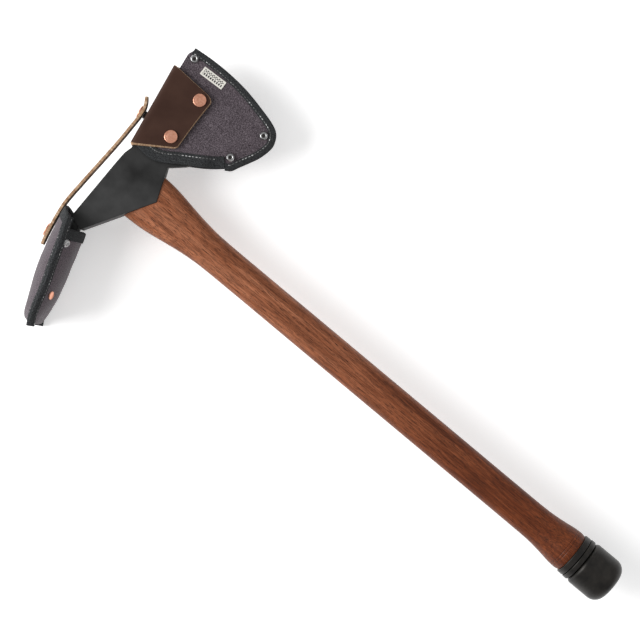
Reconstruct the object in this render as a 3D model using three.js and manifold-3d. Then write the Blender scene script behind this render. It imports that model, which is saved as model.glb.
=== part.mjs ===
// A small forestry axe with an adze poll, in its two-part travelling sheath.
//
// Units are millimetres.  The tool lies on its side: the handle runs along +X towards
// the pommel, the axe bit points along +Y, the adze along -Y, and +Z is up.  The origin
// is the centre of the eye, on the flush top face of the head.

import * as THREE from 'three';
import { mergeVertices } from 'three/addons/utils/BufferGeometryUtils.js';
import Module from 'manifold-3d';

const wasm = await Module();
wasm.setup();

// ---------------------------------------------------------------- driving dimensions

const overallLength = 610;
const gap = 0.3; // between pieces that touch

// Head
const headThickness = 32;
const cheekTip = new THREE.Vector2(52.6, 3); // lowest point of the V-shaped underside
const adzeNeck = new THREE.Vector2(14.6, -62);
const throat = new THREE.Vector2(39.4, 34.9);
const edgeChamfer = 1.4;
const eyeLength = 43;
const eyeWidth = 18;
const bitRootThickness = 16.2;
const bitShoulderThickness = 5.2; // where the grinding bevel starts
const bitBevelY = 108;
const cuttingEdgeThickness = 0.6;
const cuttingEdgeBow = 9.5;
const bitHeel = new THREE.Vector2(66, 110);
const bitEdgeLength = 86; // the bit's upper edge, along the leather fold
const bitEdgeLead = 1.5; // how far below the leather's foot that edge starts

// Handle
const gripWidth = 33.2;
const gripDepth = 27.4;
const shoulderWidth = 51.2;
const shoulderDepth = 29.8;
const swellDiameter = 41;
const wedgeDepth = 30;
const wedgeThickness = 4;
const crossWedgeDepth = 18;
const crossWedgeSpacing = 18;
const crossWedgeThickness = 2;

// Pommel
const pommelLength = 49;
const pommelDiameter = 45;
const washerThickness = 6.2;
const collarThickness = 5;
const rodDiameter = 10;
const rodInHandle = 55;
const rodInCap = 24;

// Axe cover
const foldFoot = new THREE.Vector2(-1.6, 28); // outer face of the leather fold
const foldHead = new THREE.Vector2(-18, 113);
const leather = 2.2;
const canvas = 1.4;
const bindingWidth = 6;
const bandWidth = 10.5;
const bandThickness = 1.2;
const bandLift = 3 * gap; // the band stands a little proud where the canvas curves
const weltThickness = 3;
const weltWidth = 8;
const bitClearance = 1.2; // between the bit's faces and the canvas
const seamRunIn = 16; // over which the canvas closes down to its seam
const rivetHead = 8;
const rivetShank = 4;
const labelLength = 25;
const labelHeight = 8.4;
const labelThickness = 0.6;

// Snaps
const capDiameter = 12.6;
const capHeight = 2.4;
const socketDiameter = 8.4;
const socketBore = 5;
const studDiameter = 3.8;

// Adze and its cover: both are arcs about one centre, so the cover draws off round it
const drawCentre = new THREE.Vector3(250, -35, 0);
const adzeRadius = 245;
const adzeNeckThickness = 13;
const adzeEdgeThickness = 2.4;
const adzeEdgeWidth = 52;
const adzeEdgeAngle = 27.5;
const adzeCoverWidth = 80;
const adzeCoverStart = 4.6; // degrees round the centre
const adzeFoldAngle = 29.5; // where the canvas folds over the adze's edge
const adzeCoverEnd = 30.4; // where the bindings' cut ends stick out past the fold
const outerMouthAngle = 4.1;
const innerMouthAngle = 6.9;
const mouthBandAngle = 2.1;
const outerBulge = 12;
const innerBulge = 14;

// Strap
const strapThickness = 2.6;
const strapWidth = 17;
const strapStandOff = 3.4; // from the fold to the strap's inner face, at the snap
const strapStudAlong = 32; // along the fold from its foot
const strapTailEnd = 13.4; // degrees round the adze centre
const strapCapAngle = 10.3;

// ------------------------------------------------------------------ derived values

const handleEnd = overallLength - pommelLength;
const foldDirection = foldHead.clone().sub(foldFoot).normalize();
const foldInward = new THREE.Vector2(foldDirection.y, -foldDirection.x);
const foldLength = foldHead.distanceTo(foldFoot);
const seamHalfGap = weltThickness / 2 + gap;
const flapLift = bandLift + bandThickness + gap;
const up = new THREE.Vector3(0, 0, 1);
const down = new THREE.Vector3(0, 0, -1);
const alongHandle = new THREE.Vector3(1, 0, 0);

// -------------------------------------------------------------------- shape helpers

const flat = (x, y) => new THREE.Vector2(x, y);
const lift = (point, z) => new THREE.Vector3(point.x, point.y, z);
const spread = (count) => Array.from({ length: count + 1 }, (_, index) => index / count);
const steps = (from, to, count) => spread(count).map((t) => THREE.MathUtils.lerp(from, to, t));
const blendUp = (value, from, to) => THREE.MathUtils.smoothstep(value, from, to);

// Straight-line interpolation through [position, value] pairs.
function along(pairs, position) {
  if (position <= pairs[0][0]) return pairs[0][1];
  for (let index = 1; index < pairs.length; index += 1) {
    const [end, value] = pairs[index];
    const [start, before] = pairs[index - 1];
    if (position <= end) return THREE.MathUtils.mapLinear(position, start, end, before, value);
  }
  return pairs[pairs.length - 1][1];
}

// A smooth flat curve through points, as a function of 0..1 along its length.
function smoothCurve(points) {
  const curve = new THREE.SplineCurve(points);
  curve.arcLengthDivisions = 400;
  return {
    at: (t) => curve.getPointAt(THREE.MathUtils.clamp(t, 0, 1)),
    leftOf: (t) => {
      const tangent = curve.getTangentAt(THREE.MathUtils.clamp(t, 0, 1));
      return flat(-tangent.y, tangent.x);
    },
    length: curve.getLength(),
  };
}

function facingOut(positions, indices) {
  const corner = (index) => new THREE.Vector3().fromArray(positions, 3 * index);
  let volume = 0;
  for (let index = 0; index < indices.length; index += 3) {
    const [a, b, c] = [0, 1, 2].map((step) => corner(indices[index + step]));
    volume += a.dot(b.cross(c));
  }
  const geometry = new THREE.BufferGeometry();
  geometry.setAttribute('position', new THREE.Float32BufferAttribute(positions, 3));
  geometry.setIndex(volume < 0 ? indices.slice().reverse() : indices);
  return geometry;
}

// A closed solid between two surfaces, each a function of (u, v).
function between(us, vs, lower, upper) {
  const positions = [];
  const indices = [];
  for (const surface of [lower, upper]) {
    for (const v of vs) {
      for (const u of us) positions.push(...surface(u, v).toArray());
    }
  }
  const columns = us.length - 1;
  const rows = vs.length - 1;
  const at = (level, column, row) => (level * vs.length + row) * us.length + column;
  const quad = (a, b, c, d) => indices.push(a, b, c, a, c, d);
  for (let row = 0; row < rows; row += 1) {
    for (let column = 0; column < columns; column += 1) {
      const [right, next] = [column + 1, row + 1];
      quad(at(1, column, row), at(1, right, row), at(1, right, next), at(1, column, next));
      quad(at(0, column, row), at(0, column, next), at(0, right, next), at(0, right, row));
    }
  }
  for (let column = 0; column < columns; column += 1) {
    const right = column + 1;
    quad(at(0, column, 0), at(0, right, 0), at(1, right, 0), at(1, column, 0));
    quad(at(0, right, rows), at(0, column, rows), at(1, column, rows), at(1, right, rows));
  }
  for (let row = 0; row < rows; row += 1) {
    const next = row + 1;
    quad(at(0, 0, next), at(0, 0, row), at(1, 0, row), at(1, 0, next));
    quad(at(0, columns, row), at(0, columns, next), at(1, columns, next), at(1, columns, row));
  }
  return facingOut(positions, indices);
}

// A closed solid through a row of rings that all have the same number of points.
function loft(rings) {
  const count = rings[0].length;
  const positions = rings.flat().flatMap((point) => point.toArray());
  const indices = [];
  for (let ring = 0; ring + 1 < rings.length; ring += 1) {
    for (let step = 0; step < count; step += 1) {
      const next = (step + 1) % count;
      const [a, b] = [ring * count + step, ring * count + next];
      indices.push(a, b, b + count, a, b + count, a + count);
    }
  }
  [0, rings.length - 1].forEach((ring, end) => {
    const middle = positions.length / 3;
    const centre = new THREE.Vector3();
    rings[ring].forEach((point) => centre.add(point));
    positions.push(...centre.divideScalar(count).toArray());
    for (let step = 0; step < count; step += 1) {
      const pair = [ring * count + step, ring * count + ((step + 1) % count)];
      if (end === 0) pair.reverse();
      indices.push(...pair, middle);
    }
  });
  return facingOut(positions, indices);
}

// A turned solid from [radius, height] pairs; its axis is the mesh's own +Y.
function turned(pairs, sides = 20) {
  return new THREE.LatheGeometry(pairs.map(([radius, height]) => flat(radius, height)), sides);
}

// A plain cutter rod between two points.
function rodBetween(start, end, diameter, sides = 24) {
  const span = end.clone().sub(start);
  const rod = new THREE.CylinderGeometry(diameter / 2, diameter / 2, span.length(), sides);
  rod.applyQuaternion(turnTo(span));
  rod.translate(...start.clone().add(end).multiplyScalar(0.5).toArray());
  return rod;
}

function turnTo(direction) {
  const own = new THREE.Vector3(0, 1, 0);
  return new THREE.Quaternion().setFromUnitVectors(own, direction.clone().normalize());
}

// A flat outline in the YZ plane, extruded along the handle.
function extrudedAlongHandle(outline, from, to) {
  const solid = new THREE.ExtrudeGeometry(outline, { depth: to - from, bevelEnabled: false });
  const basis = new THREE.Matrix4().makeBasis(new THREE.Vector3(0, 1, 0), up, alongHandle);
  solid.applyMatrix4(basis);
  solid.translate(from, 0, 0);
  return solid;
}

// A flat outline in the XY plane, extruded evenly to both sides of z = 0.
function extrudedAcross(points, width) {
  const solid = new THREE.ExtrudeGeometry(new THREE.Shape(points), { depth: width, bevelEnabled: false });
  solid.translate(0, 0, -width / 2);
  return solid;
}

function toManifold(geometry) {
  const bare = geometry.clone();
  bare.deleteAttribute('normal');
  bare.deleteAttribute('uv');
  const merged = mergeVertices(bare);
  return new wasm.Manifold(new wasm.Mesh({
    numProp: 3,
    vertProperties: new Float32Array(merged.attributes.position.array),
    triVerts: new Uint32Array(merged.index.array),
  }));
}

function fromManifold(manifold) {
  const mesh = manifold.getMesh();
  const geometry = new THREE.BufferGeometry();
  geometry.setAttribute('position', new THREE.BufferAttribute(mesh.vertProperties, 3));
  geometry.setIndex(new THREE.BufferAttribute(mesh.triVerts, 1));
  return geometry;
}

const joined = (...pieces) => fromManifold(pieces.map(toManifold).reduce((a, b) => a.add(b)));
const cut = (piece, ...cutters) => fromManifold(
  cutters.map(toManifold).reduce((rest, cutter) => rest.subtract(cutter), toManifold(piece)),
);

// ------------------------------------------------------------------------ materials

const finish = (color, roughness, metalness) => (
  new THREE.MeshStandardMaterial({ color, roughness, metalness })
);
const blackSteel = finish(0x2b2b2d, 0.6, 0.5);
const stainedWood = finish(0x7a4128, 0.35, 0);
const wedgeWood = finish(0xc39a6b, 0.6, 0);
const gunmetal = finish(0x2a2826, 0.4, 0.7);
const brightSteel = finish(0xc8c8c6, 0.3, 1);
const greyCanvas = finish(0x565157, 0.95, 0);
const blackWebbing = finish(0x26282a, 0.9, 0);
const brownLeather = finish(0x45302a, 0.6, 0);
const copper = finish(0xcd8d72, 0.35, 1);
const creamWeave = finish(0xd9d4c4, 0.9, 0);

function named(name, geometry, material) {
  const mesh = new THREE.Mesh(geometry, material);
  mesh.name = name;
  return mesh;
}

// Stands a turned piece at a point, with its axis along a direction.
function standing(name, geometry, material, point, direction) {
  const mesh = named(name, geometry, material);
  mesh.position.copy(point);
  mesh.quaternion.copy(turnTo(direction));
  return mesh;
}

// ----------------------------------------------------------------------------- head

// Half the head's thickness over the cheek and down the bit.
function headHalf(y) {
  return along([
    [8, headThickness / 2],
    [14, headThickness * 0.475],
    [20, headThickness * 0.41],
    [26, (headThickness * 0.41 + bitRootThickness / 2) / 2],
    [32, bitRootThickness / 2 + 0.9],
    [38, bitRootThickness / 2],
    [bitBevelY, bitShoulderThickness / 2],
  ], y);
}

// The bit's upper edge runs parallel to the leather fold, clear of its inner face.
function bitTop(distance) {
  const inset = leather + 0.8;
  return foldFoot.clone().addScaledVector(foldInward, inset).addScaledVector(foldDirection, distance);
}

const bitUnderside = smoothCurve([
  throat, flat(43.6, 38.6), flat(48, 42.7), flat(52.5, 47), flat(57, 54), flat(60.5, 68),
  flat(63.5, 88), bitHeel,
]);

// Rows of the head from the adze neck to the cutting edge: top edge, underside, bow.
const headRows = [
  { top: flat(0, -58), bottom: adzeNeck, bow: 0 },
  ...[0.2, 0.5, 0.8, 1].map((t) => {
    const bottom = adzeNeck.clone().lerp(cheekTip, t);
    return { top: flat(0, bottom.y), bottom, bow: 0 };
  }),
  ...[0.16, 0.35, 0.54, 0.73].map((t) => {
    const bottom = cheekTip.clone().lerp(throat, t);
    return { top: flat(0, bottom.y), bottom, bow: 0 };
  }),
  ...[0, 0.1, 0.2, 0.3, 0.42, 0.55, 0.7, 0.82, 0.9, 1].map((t) => ({
    top: bitTop(THREE.MathUtils.lerp(-bitEdgeLead, bitEdgeLength, t)),
    bottom: bitUnderside.at(t),
    bow: cuttingEdgeBow * t * t,
  })),
];

function headPoint(u, row) {
  const { top, bottom, bow } = headRows[row];
  const point = top.clone().lerp(bottom, u);
  point.y += 4 * bow * u * (1 - u);
  return point;
}

function headSurface(side) {
  return (u, row) => {
    const point = headPoint(u, row);
    const full = row === headRows.length - 1 ? cuttingEdgeThickness / 2 : headHalf(point.y);
    const edge = u === 0 || u === 1;
    const half = edge ? Math.max(full - edgeChamfer, full * 0.5) : full;
    return lift(point, side * half);
  };
}

const eyeOutline = (clearance) => {
  const half = eyeWidth / 2 - clearance;
  const straight = (eyeLength - eyeWidth) / 2;
  const outline = new THREE.Shape();
  outline.absarc(straight, 0, half, -Math.PI / 2, Math.PI / 2);
  outline.absarc(-straight, 0, half, Math.PI / 2, 1.5 * Math.PI);
  return outline;
};

// A point round the adze's centre: radius, degrees down from the eye, height.
function polar(radius, degrees, z) {
  const angle = THREE.MathUtils.degToRad(degrees);
  return new THREE.Vector3(-radius * Math.cos(angle), -radius * Math.sin(angle), z);
}

function adzeBlade() {
  const start = 4.4;
  const rings = steps(start, adzeEdgeAngle, 12).map((degrees) => {
    const t = (degrees - start) / (adzeEdgeAngle - start);
    const half = THREE.MathUtils.lerp(adzeNeckThickness, adzeEdgeThickness, Math.min(1, t * 1.5)) / 2;
    const width = THREE.MathUtils.lerp(headThickness - 4, adzeEdgeWidth, blendUp(t, 0, 0.9)) / 2;
    const thin = t === 1 ? 0.3 : half;
    const chamfer = Math.min(edgeChamfer, thin * 0.6);
    return [
      [-thin, -width + chamfer], [-thin + chamfer, -width], [thin - chamfer, -width],
      [thin, -width + chamfer], [thin, width - chamfer], [thin - chamfer, width],
      [-thin + chamfer, width], [-thin, width - chamfer],
    ].map(([offset, z]) => polar(adzeRadius + offset, degrees, z).add(drawCentre));
  });
  return loft(rings);
}

function axeHead() {
  const rows = headRows.map((_, index) => index);
  const columns = [0, 0.035, 0.25, 0.5, 0.75, 0.965, 1];
  const body = between(columns, rows, headSurface(-1), headSurface(1));
  const eye = extrudedAlongHandle(eyeOutline(0), -10, cheekTip.x + 10);
  return named('axe_head', cut(joined(body, adzeBlade()), eye), blackSteel);
}

// --------------------------------------------------------------------------- handle

const gripFlareStart = 118;
const handleHalfWidth = (x) => along([
  [50, shoulderWidth / 2], [64, shoulderWidth * 0.473], [80, shoulderWidth * 0.422],
  [99, shoulderWidth * 0.366], [gripFlareStart, gripWidth / 2 + 0.3], [150, gripWidth / 2],
  [handleEnd - 60, gripWidth / 2], [handleEnd - 40, gripWidth / 2 + 0.2],
  [handleEnd - 25, swellDiameter * 0.446], [handleEnd - 12, swellDiameter * 0.49],
  [handleEnd - 4, swellDiameter / 2], [handleEnd, swellDiameter * 0.476],
], x);
const handleHalfDepth = (x) => along([
  [50, shoulderDepth / 2], [80, shoulderDepth * 0.48], [gripFlareStart, gripDepth / 2],
  [handleEnd - 60, gripDepth / 2 + 0.4], [handleEnd - 40, gripDepth * 0.54],
  [handleEnd - 20, swellDiameter * 0.445], [handleEnd - 12, swellDiameter * 0.485],
  [handleEnd - 4, swellDiameter / 2], [handleEnd, swellDiameter * 0.476],
], x);

function handleRing(x, sides = 24) {
  const square = THREE.MathUtils.lerp(2.5, 2, blendUp(x, handleEnd - 50, handleEnd - 12));
  return Array.from({ length: sides }, (_, index) => {
    const angle = (2 * Math.PI * (index + 0.5)) / sides;
    const swell = (value) => Math.sign(value) * Math.abs(value) ** (2 / square);
    return new THREE.Vector3(
      x,
      handleHalfWidth(x) * swell(Math.cos(angle)),
      handleHalfDepth(x) * swell(Math.sin(angle)),
    );
  });
}

function wedgeSolid(length, clearance) {
  const depth = wedgeDepth + clearance;
  const [wide, narrow] = [wedgeThickness / 2 + clearance, 0.5 + clearance];
  const start = clearance > 0 ? -1 : 0;
  const surface = (side) => (u, v) => {
    const x = THREE.MathUtils.lerp(start, depth, u);
    const z = side * THREE.MathUtils.lerp(wide, narrow, u);
    return new THREE.Vector3(x, THREE.MathUtils.lerp(-length / 2, length / 2, v), z);
  };
  return between(spread(1), spread(1), surface(-1), surface(1));
}

function crossWedgeSolid(y, clearance) {
  const start = clearance > 0 ? -1 : 0;
  const [wide, narrow] = [crossWedgeThickness / 2 + clearance, 0.3 + clearance];
  const height = eyeWidth / 2 - 3 + clearance;
  const surface = (side) => (u, v) => new THREE.Vector3(
    THREE.MathUtils.lerp(start, crossWedgeDepth + clearance, u),
    y + side * THREE.MathUtils.lerp(wide, narrow, u),
    THREE.MathUtils.lerp(-height, height, v),
  );
  return between(spread(1), spread(1), surface(-1), surface(1));
}

const crossWedgePlaces = [-crossWedgeSpacing / 2, crossWedgeSpacing / 2];

function handle() {
  const stations = [
    ...steps(20, gripFlareStart, 9), ...steps(gripFlareStart + 50, handleEnd - 60, 4),
    ...[40, 32, 25, 18, 12, 8, 4, 1.5, 0].map((back) => handleEnd - back),
  ];
  const shank = loft(stations.map((x) => handleRing(x)));
  const seat = extrudedAcross([
    flat(-20, adzeNeck.y - 20), flat(adzeNeck.x + gap, adzeNeck.y - 20),
    flat(adzeNeck.x + gap, adzeNeck.y), flat(cheekTip.x + gap, cheekTip.y),
    flat(throat.x + gap, throat.y), flat(throat.x + gap, throat.y + 20), flat(-20, throat.y + 20),
  ], headThickness + 20);
  const tongue = extrudedAlongHandle(eyeOutline(gap), 0, cheekTip.x + 8);
  const rodHole = rodBetween(
    new THREE.Vector3(handleEnd - rodInHandle - gap, 0, 0),
    new THREE.Vector3(handleEnd + 5, 0, 0),
    rodDiameter + 2 * gap,
  );
  return named('handle', cut(
    joined(cut(shank, seat), tongue),
    wedgeSolid(eyeLength + 10, gap),
    ...crossWedgePlaces.map((y) => crossWedgeSolid(y, gap)),
    rodHole,
  ), stainedWood);
}

function wedges() {
  const ends = eyeLength / 2 - 1;
  const wooden = cut(wedgeSolid(2 * ends, 0), ...crossWedgePlaces.map((y) => crossWedgeSolid(y, gap)));
  return [
    named('eye_wedge', wooden, wedgeWood),
    named('cross_wedge_adze_side', crossWedgeSolid(crossWedgePlaces[0], 0), brightSteel),
    named('cross_wedge_bit_side', crossWedgeSolid(crossWedgePlaces[1], 0), brightSteel),
  ];
}

// --------------------------------------------------------------------------- pommel

function ringProfile(bore, thickness, radius, round) {
  return [
    [bore, 0], [radius - 1.6, 0], [radius - round, 0.5], [radius, 1.6], [radius, thickness - 1.6],
    [radius - round, thickness - 0.5], [radius - 1.6, thickness], [bore, thickness], [bore, 0],
  ];
}

function pommel() {
  const bore = rodDiameter / 2 + gap;
  const radius = pommelDiameter / 2;
  const washerStart = handleEnd + gap;
  const collarStart = washerStart + washerThickness + gap;
  const capStart = collarStart + collarThickness + gap;
  const capLength = overallLength - capStart;
  const cap = turned([
    [0, 0], [radius - 3.7, 0], [radius - 1.9, 1.4], [radius - 0.4, 3.6], [radius, 5.2],
    [radius, capLength - 11.4], [radius - 0.9, capLength - 7.9], [radius - 2.9, capLength - 4.9],
    [radius - 6.1, capLength - 2.2], [radius - 10.5, capLength - 0.6], [6, capLength], [0, capLength],
  ], 36);
  const capBore = rodBetween(
    new THREE.Vector3(0, -5, 0), new THREE.Vector3(0, rodInCap + gap, 0), 2 * bore,
  );
  const rodLength = capStart + rodInCap - handleEnd + rodInHandle;
  const rodRadius = rodDiameter / 2;
  const rod = turned([
    [0, 0], [rodRadius - 0.8, 0], [rodRadius, 0.8], [rodRadius, rodLength - 0.8],
    [rodRadius - 0.8, rodLength], [0, rodLength],
  ], 24);
  const onAxis = (x) => new THREE.Vector3(x, 0, 0);
  const ring = (thickness) => turned(ringProfile(bore, thickness, radius - 0.8, 0.5), 36);
  return [
    standing('pommel_washer', ring(washerThickness), gunmetal, onAxis(washerStart), alongHandle),
    standing('pommel_collar', ring(collarThickness), gunmetal, onAxis(collarStart), alongHandle),
    standing('pommel_cap', cut(cap, capBore), gunmetal, onAxis(capStart), alongHandle),
    standing('pommel_rod', rod, brightSteel, onAxis(handleEnd - rodInHandle), alongHandle),
  ];
}

// ------------------------------------------------------------------ axe cover layout

// The sewn edge, from the toe over the cutting edge and round the heel to the beard.
const seam = smoothCurve([
  flat(-16, 137), flat(6, 139.2), flat(28, 139.4), flat(50, 137.6), flat(72, 133.2),
  flat(88, 129), flat(96.5, 124.2), flat(101, 117), flat(102.2, 109.5), flat(99.5, 97),
  flat(94.7, 86.3), flat(90, 77), flat(86.8, 70.4), flat(81.5, 66.6),
]);
const heelAlongSeam = 0.605;
const seamInset = (t, inset) => seam.at(t).addScaledVector(seam.leftOf(t), -inset);

const panelInset = bindingWidth + gap;
const panelFoot = foldFoot.clone().addScaledVector(foldInward, 5.6).add(flat(0, 3));
const mouth = smoothCurve([
  panelFoot, flat(10, 31.8), flat(17, 31.2), flat(25, 32.3), flat(34, 36.5), flat(43, 42.8),
  flat(52.5, 48.8), flat(64, 56.2), flat(72, 62), seamInset(1, panelInset),
]);

// A Coons patch over the canvas: u from the fold to the heel, v from mouth to edge.
function panelPoint(u, v) {
  const bottom = mouth.at(u);
  const top = seamInset(u * heelAlongSeam, panelInset);
  const toe = seamInset(0, panelInset);
  const heel = seamInset(heelAlongSeam, panelInset);
  const left = panelFoot.clone().lerp(toe, v);
  const right = seamInset(1 - v * (1 - heelAlongSeam), panelInset);
  const beard = mouth.at(1);
  const near = panelFoot.clone().lerp(beard, u);
  const far = toe.clone().lerp(heel, u);
  return bottom.lerp(top, v).add(left.lerp(right, u)).sub(near.lerp(far, v));
}

const seamSamples = spread(80).map((t) => seam.at(t));
const distanceToSeam = (point) => Math.min(...seamSamples.map((sample) => sample.distanceTo(point)));

// Half the space between the two canvases.
function halfSpace(point) {
  const open = Math.max(headHalf(point.y) + bitClearance, seamHalfGap);
  const closing = blendUp(distanceToSeam(point) - panelInset, 0, seamRunIn);
  return THREE.MathUtils.lerp(seamHalfGap, open, closing);
}

const canvasFace = (point) => halfSpace(point) + canvas;

// The highest that a face comes under a round foot standing at a place.
function highest(face, place, diameter) {
  const rim = spread(8).map((t) => {
    const angle = 2 * Math.PI * t;
    return place.clone().add(flat(Math.cos(angle), Math.sin(angle)).multiplyScalar(diameter / 2));
  });
  return Math.max(face(place), ...rim.map(face));
}

// Snap and rivet places, as seen from the front.
const toeRivet = flat(-7, 128.7);
const heelRivet = flat(89, 115);
const beardRivet = flat(78, 79.4);
const upperSnap = flat(22.4, 101.7);
const lowerSnap = flat(23.8, 58.4);
const labelCentre = flat(18, 126.2);

const throughHole = (point, diameter) => (
  rodBetween(lift(point, -40), lift(point, 40), diameter, 16)
);
const sewnRivets = [toeRivet, heelRivet, beardRivet];
const snapPlaces = [upperSnap, lowerSnap];

function panel(side) {
  const surface = (extra) => (u, v) => {
    const point = panelPoint(u, v);
    return lift(point, side * (halfSpace(point) + extra));
  };
  const sheet = between(spread(12), spread(10), surface(0), surface(canvas));
  return cut(sheet, ...sewnRivets.map((place) => throughHole(place, rivetShank + 2 * gap)));
}

function seamStrip(from, to, insetFrom, insetTo, thickness) {
  const surface = (side) => (u, v) => {
    const inset = THREE.MathUtils.lerp(insetFrom, insetTo, u);
    return lift(seamInset(THREE.MathUtils.lerp(from, to, v), inset), side * thickness / 2);
  };
  return between(spread(1), spread(36), surface(-1), surface(1));
}

function mouthBand(side) {
  const surface = (extra) => (u, v) => {
    const t = THREE.MathUtils.lerp(0.03, 0.93, v);
    const point = mouth.at(t).addScaledVector(mouth.leftOf(t), bandWidth * u);
    return lift(point, side * (canvasFace(point) + bandLift + extra));
  };
  return between(spread(2), spread(16), surface(0), surface(bandThickness));
}

function throughRivet(name, place) {
  const half = highest(canvasFace, place, rivetHead) + gap;
  const [head, shank] = [rivetHead / 2, rivetShank / 2];
  const shape = turned([
    [0, -half - 1.6], [head * 0.6, -half - 1.4], [head, -half - 0.5], [head, -half], [shank, -half],
    [shank, half], [head, half], [head, half + 0.5], [head * 0.6, half + 1.4], [0, half + 1.6],
  ], 16);
  return standing(name, shape, brightSteel, lift(place, 0), up);
}

// ------------------------------------------------------------------- leather saddle

const flapCorners = {
  foot: foldFoot, head: foldHead, topRight: flat(31, 110.6), bottomRight: flat(35, 53.2),
};

function flapPoint(u, v) {
  const bottom = flapCorners.foot.clone().lerp(flapCorners.bottomRight, u);
  const top = flapCorners.head.clone().lerp(flapCorners.topRight, u);
  return bottom.lerp(top, v);
}

// The leather lies flat over the canvas and the band, so its underside is one plane.
const leatherStack = bitClearance + canvas + flapLift;
const undersideAtFoot = bitRootThickness / 2 + 1.2 + leatherStack;
const undersideAtHead = bitShoulderThickness / 2 + leatherStack;
const leatherUnderside = (y) => THREE.MathUtils.mapLinear(
  y, foldFoot.y, foldHead.y, undersideAtFoot, undersideAtHead,
);

function leatherSheet(side, fromEdge) {
  const surface = (extra) => (u, v) => {
    const point = flapPoint(THREE.MathUtils.lerp(fromEdge, 1, u), v);
    return lift(point, side * (leatherUnderside(point.y) + extra));
  };
  return between(spread(6), spread(8), surface(0), surface(leather));
}

function saddle() {
  const surface = (depth) => (u, v) => {
    const point = foldFoot.clone().addScaledVector(foldDirection, foldLength * v);
    const reach = leatherUnderside(point.y);
    point.addScaledVector(foldInward, depth);
    return lift(point, THREE.MathUtils.lerp(-reach - leather / 2, reach - gap, u));
  };
  const spine = between(spread(1), spread(8), surface(0), surface(leather));
  const back = cut(
    leatherSheet(-1, 0),
    ...snapPlaces.map((place) => throughHole(place, rivetShank + 2 * gap)),
  );
  return named('leather_saddle', joined(spine, back), brownLeather);
}

function closureFlap() {
  const holes = snapPlaces.map((place) => throughHole(place, studDiameter + 4 * gap));
  return named('closure_flap', cut(leatherSheet(1, 0.004), ...holes), brownLeather);
}

// A domed cap with a short shank through the leather.
function capShape(leatherDepth) {
  const [radius, shank] = [capDiameter / 2, studDiameter / 2 + gap];
  return turned([
    [0, -leatherDepth], [shank, -leatherDepth], [shank, gap], [radius, gap], [radius, gap + 0.8],
    [radius * 0.8, capHeight * 0.8], [radius * 0.4, capHeight], [0, capHeight],
  ]);
}

function flatRing(outer, bore, thickness) {
  return turned([
    [bore / 2, 0], [outer / 2, 0], [outer / 2, thickness], [bore / 2, thickness], [bore / 2, 0],
  ]);
}

function studShape(postHeight) {
  const [flange, post] = [socketDiameter / 2, studDiameter / 2];
  return turned([
    [0, 0], [flange, 0], [flange, 0.5], [post * 0.8, 0.6], [post * 0.8, postHeight * 0.5],
    [post, postHeight * 0.75], [post * 0.8, postHeight], [0, postHeight],
  ], 16);
}

const leatherTop = (point) => leatherUnderside(point.y) + leather;
const leatherTopUnder = (place, diameter) => highest(leatherTop, place, diameter);

function saddleRivet(name, place) {
  const shank = leather + flapLift + canvas - gap;
  const [head, pin] = [rivetHead / 2, rivetShank / 2];
  const shape = turned([
    [0, -shank], [pin, -shank], [pin, gap], [head, gap], [head, gap + 0.5],
    [head * 0.6, gap + 1.4], [0, gap + 1.6],
  ], 16);
  return standing(name, shape, copper, lift(place, -leatherTopUnder(place, rivetHead)), down);
}

function flapStud(name, place) {
  const start = canvasFace(place) + gap;
  const height = leatherUnderside(place.y) - start - gap;
  return standing(name, studShape(height), brightSteel, lift(place, start), up);
}

// ---------------------------------------------------------------- build: the bodies

function axeBody() {
  const group = new THREE.Group();
  group.add(axeHead(), handle(), ...wedges(), ...pommel());
  return group;
}

const foldPoint = (distance) => foldFoot.clone().addScaledVector(foldDirection, distance);
const foldOutward = lift(foldInward.clone().negate(), 0);

function label() {
  const surface = (extra) => (u, v) => {
    const tilt = THREE.MathUtils.degToRad(3);
    const offset = flat(labelLength * (u - 0.5), labelHeight * (v - 0.5));
    const point = offset.rotateAround(flat(0, 0), tilt).add(labelCentre);
    return lift(point, canvasFace(point) + gap + extra);
  };
  const label = between(spread(5), spread(3), surface(0), surface(labelThickness));
  return named('cover_label', label, creamWeave);
}

function axeCoverBody() {
  const group = new THREE.Group();
  const welt = cut(
    seamStrip(0.015, 0.93, panelInset, panelInset + weltWidth, weltThickness),
    ...sewnRivets.map((place) => throughHole(place, rivetShank + 2 * gap)),
  );
  const backHoles = snapPlaces.map((place) => throughHole(place, rivetShank + 2 * gap));
  const strapStud = standing(
    'strap_stud', studShape(strapStandOff - 5 * gap), brightSteel,
    lift(foldPoint(strapStudAlong), 0).addScaledVector(foldOutward, gap), foldOutward,
  );
  group.add(
    named('cover_front_panel', panel(1), greyCanvas),
    named('cover_back_panel', cut(panel(-1), ...backHoles), greyCanvas),
    named('cover_welt', welt, blackWebbing),
    named('cover_edge_binding', seamStrip(0, 1, 0, bindingWidth, 2 * (seamHalfGap + canvas)), blackWebbing),
    named('cover_mouth_band_front', mouthBand(1), blackWebbing),
    named('cover_mouth_band_back', mouthBand(-1), blackWebbing),
    throughRivet('cover_rivet_toe', toeRivet),
    throughRivet('cover_rivet_heel', heelRivet),
    throughRivet('cover_rivet_beard', beardRivet),
    label(),
    saddle(),
    saddleRivet('saddle_rivet_upper', upperSnap),
    saddleRivet('saddle_rivet_lower', lowerSnap),
    flapStud('flap_stud_upper', upperSnap),
    flapStud('flap_stud_lower', lowerSnap),
    strapStud,
  );
  return group;
}

function flapBody() {
  const group = new THREE.Group();
  group.add(closureFlap());
  for (const [word, place] of [['upper', upperSnap], ['lower', lowerSnap]]) {
    const top = leatherTopUnder(place, capDiameter);
    group.add(standing(`flap_cap_${word}`, capShape(leather * 0.6), copper, lift(place, top), up));
  }
  return group;
}

// ---------------------------------------------------------------------- adze cover

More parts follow.
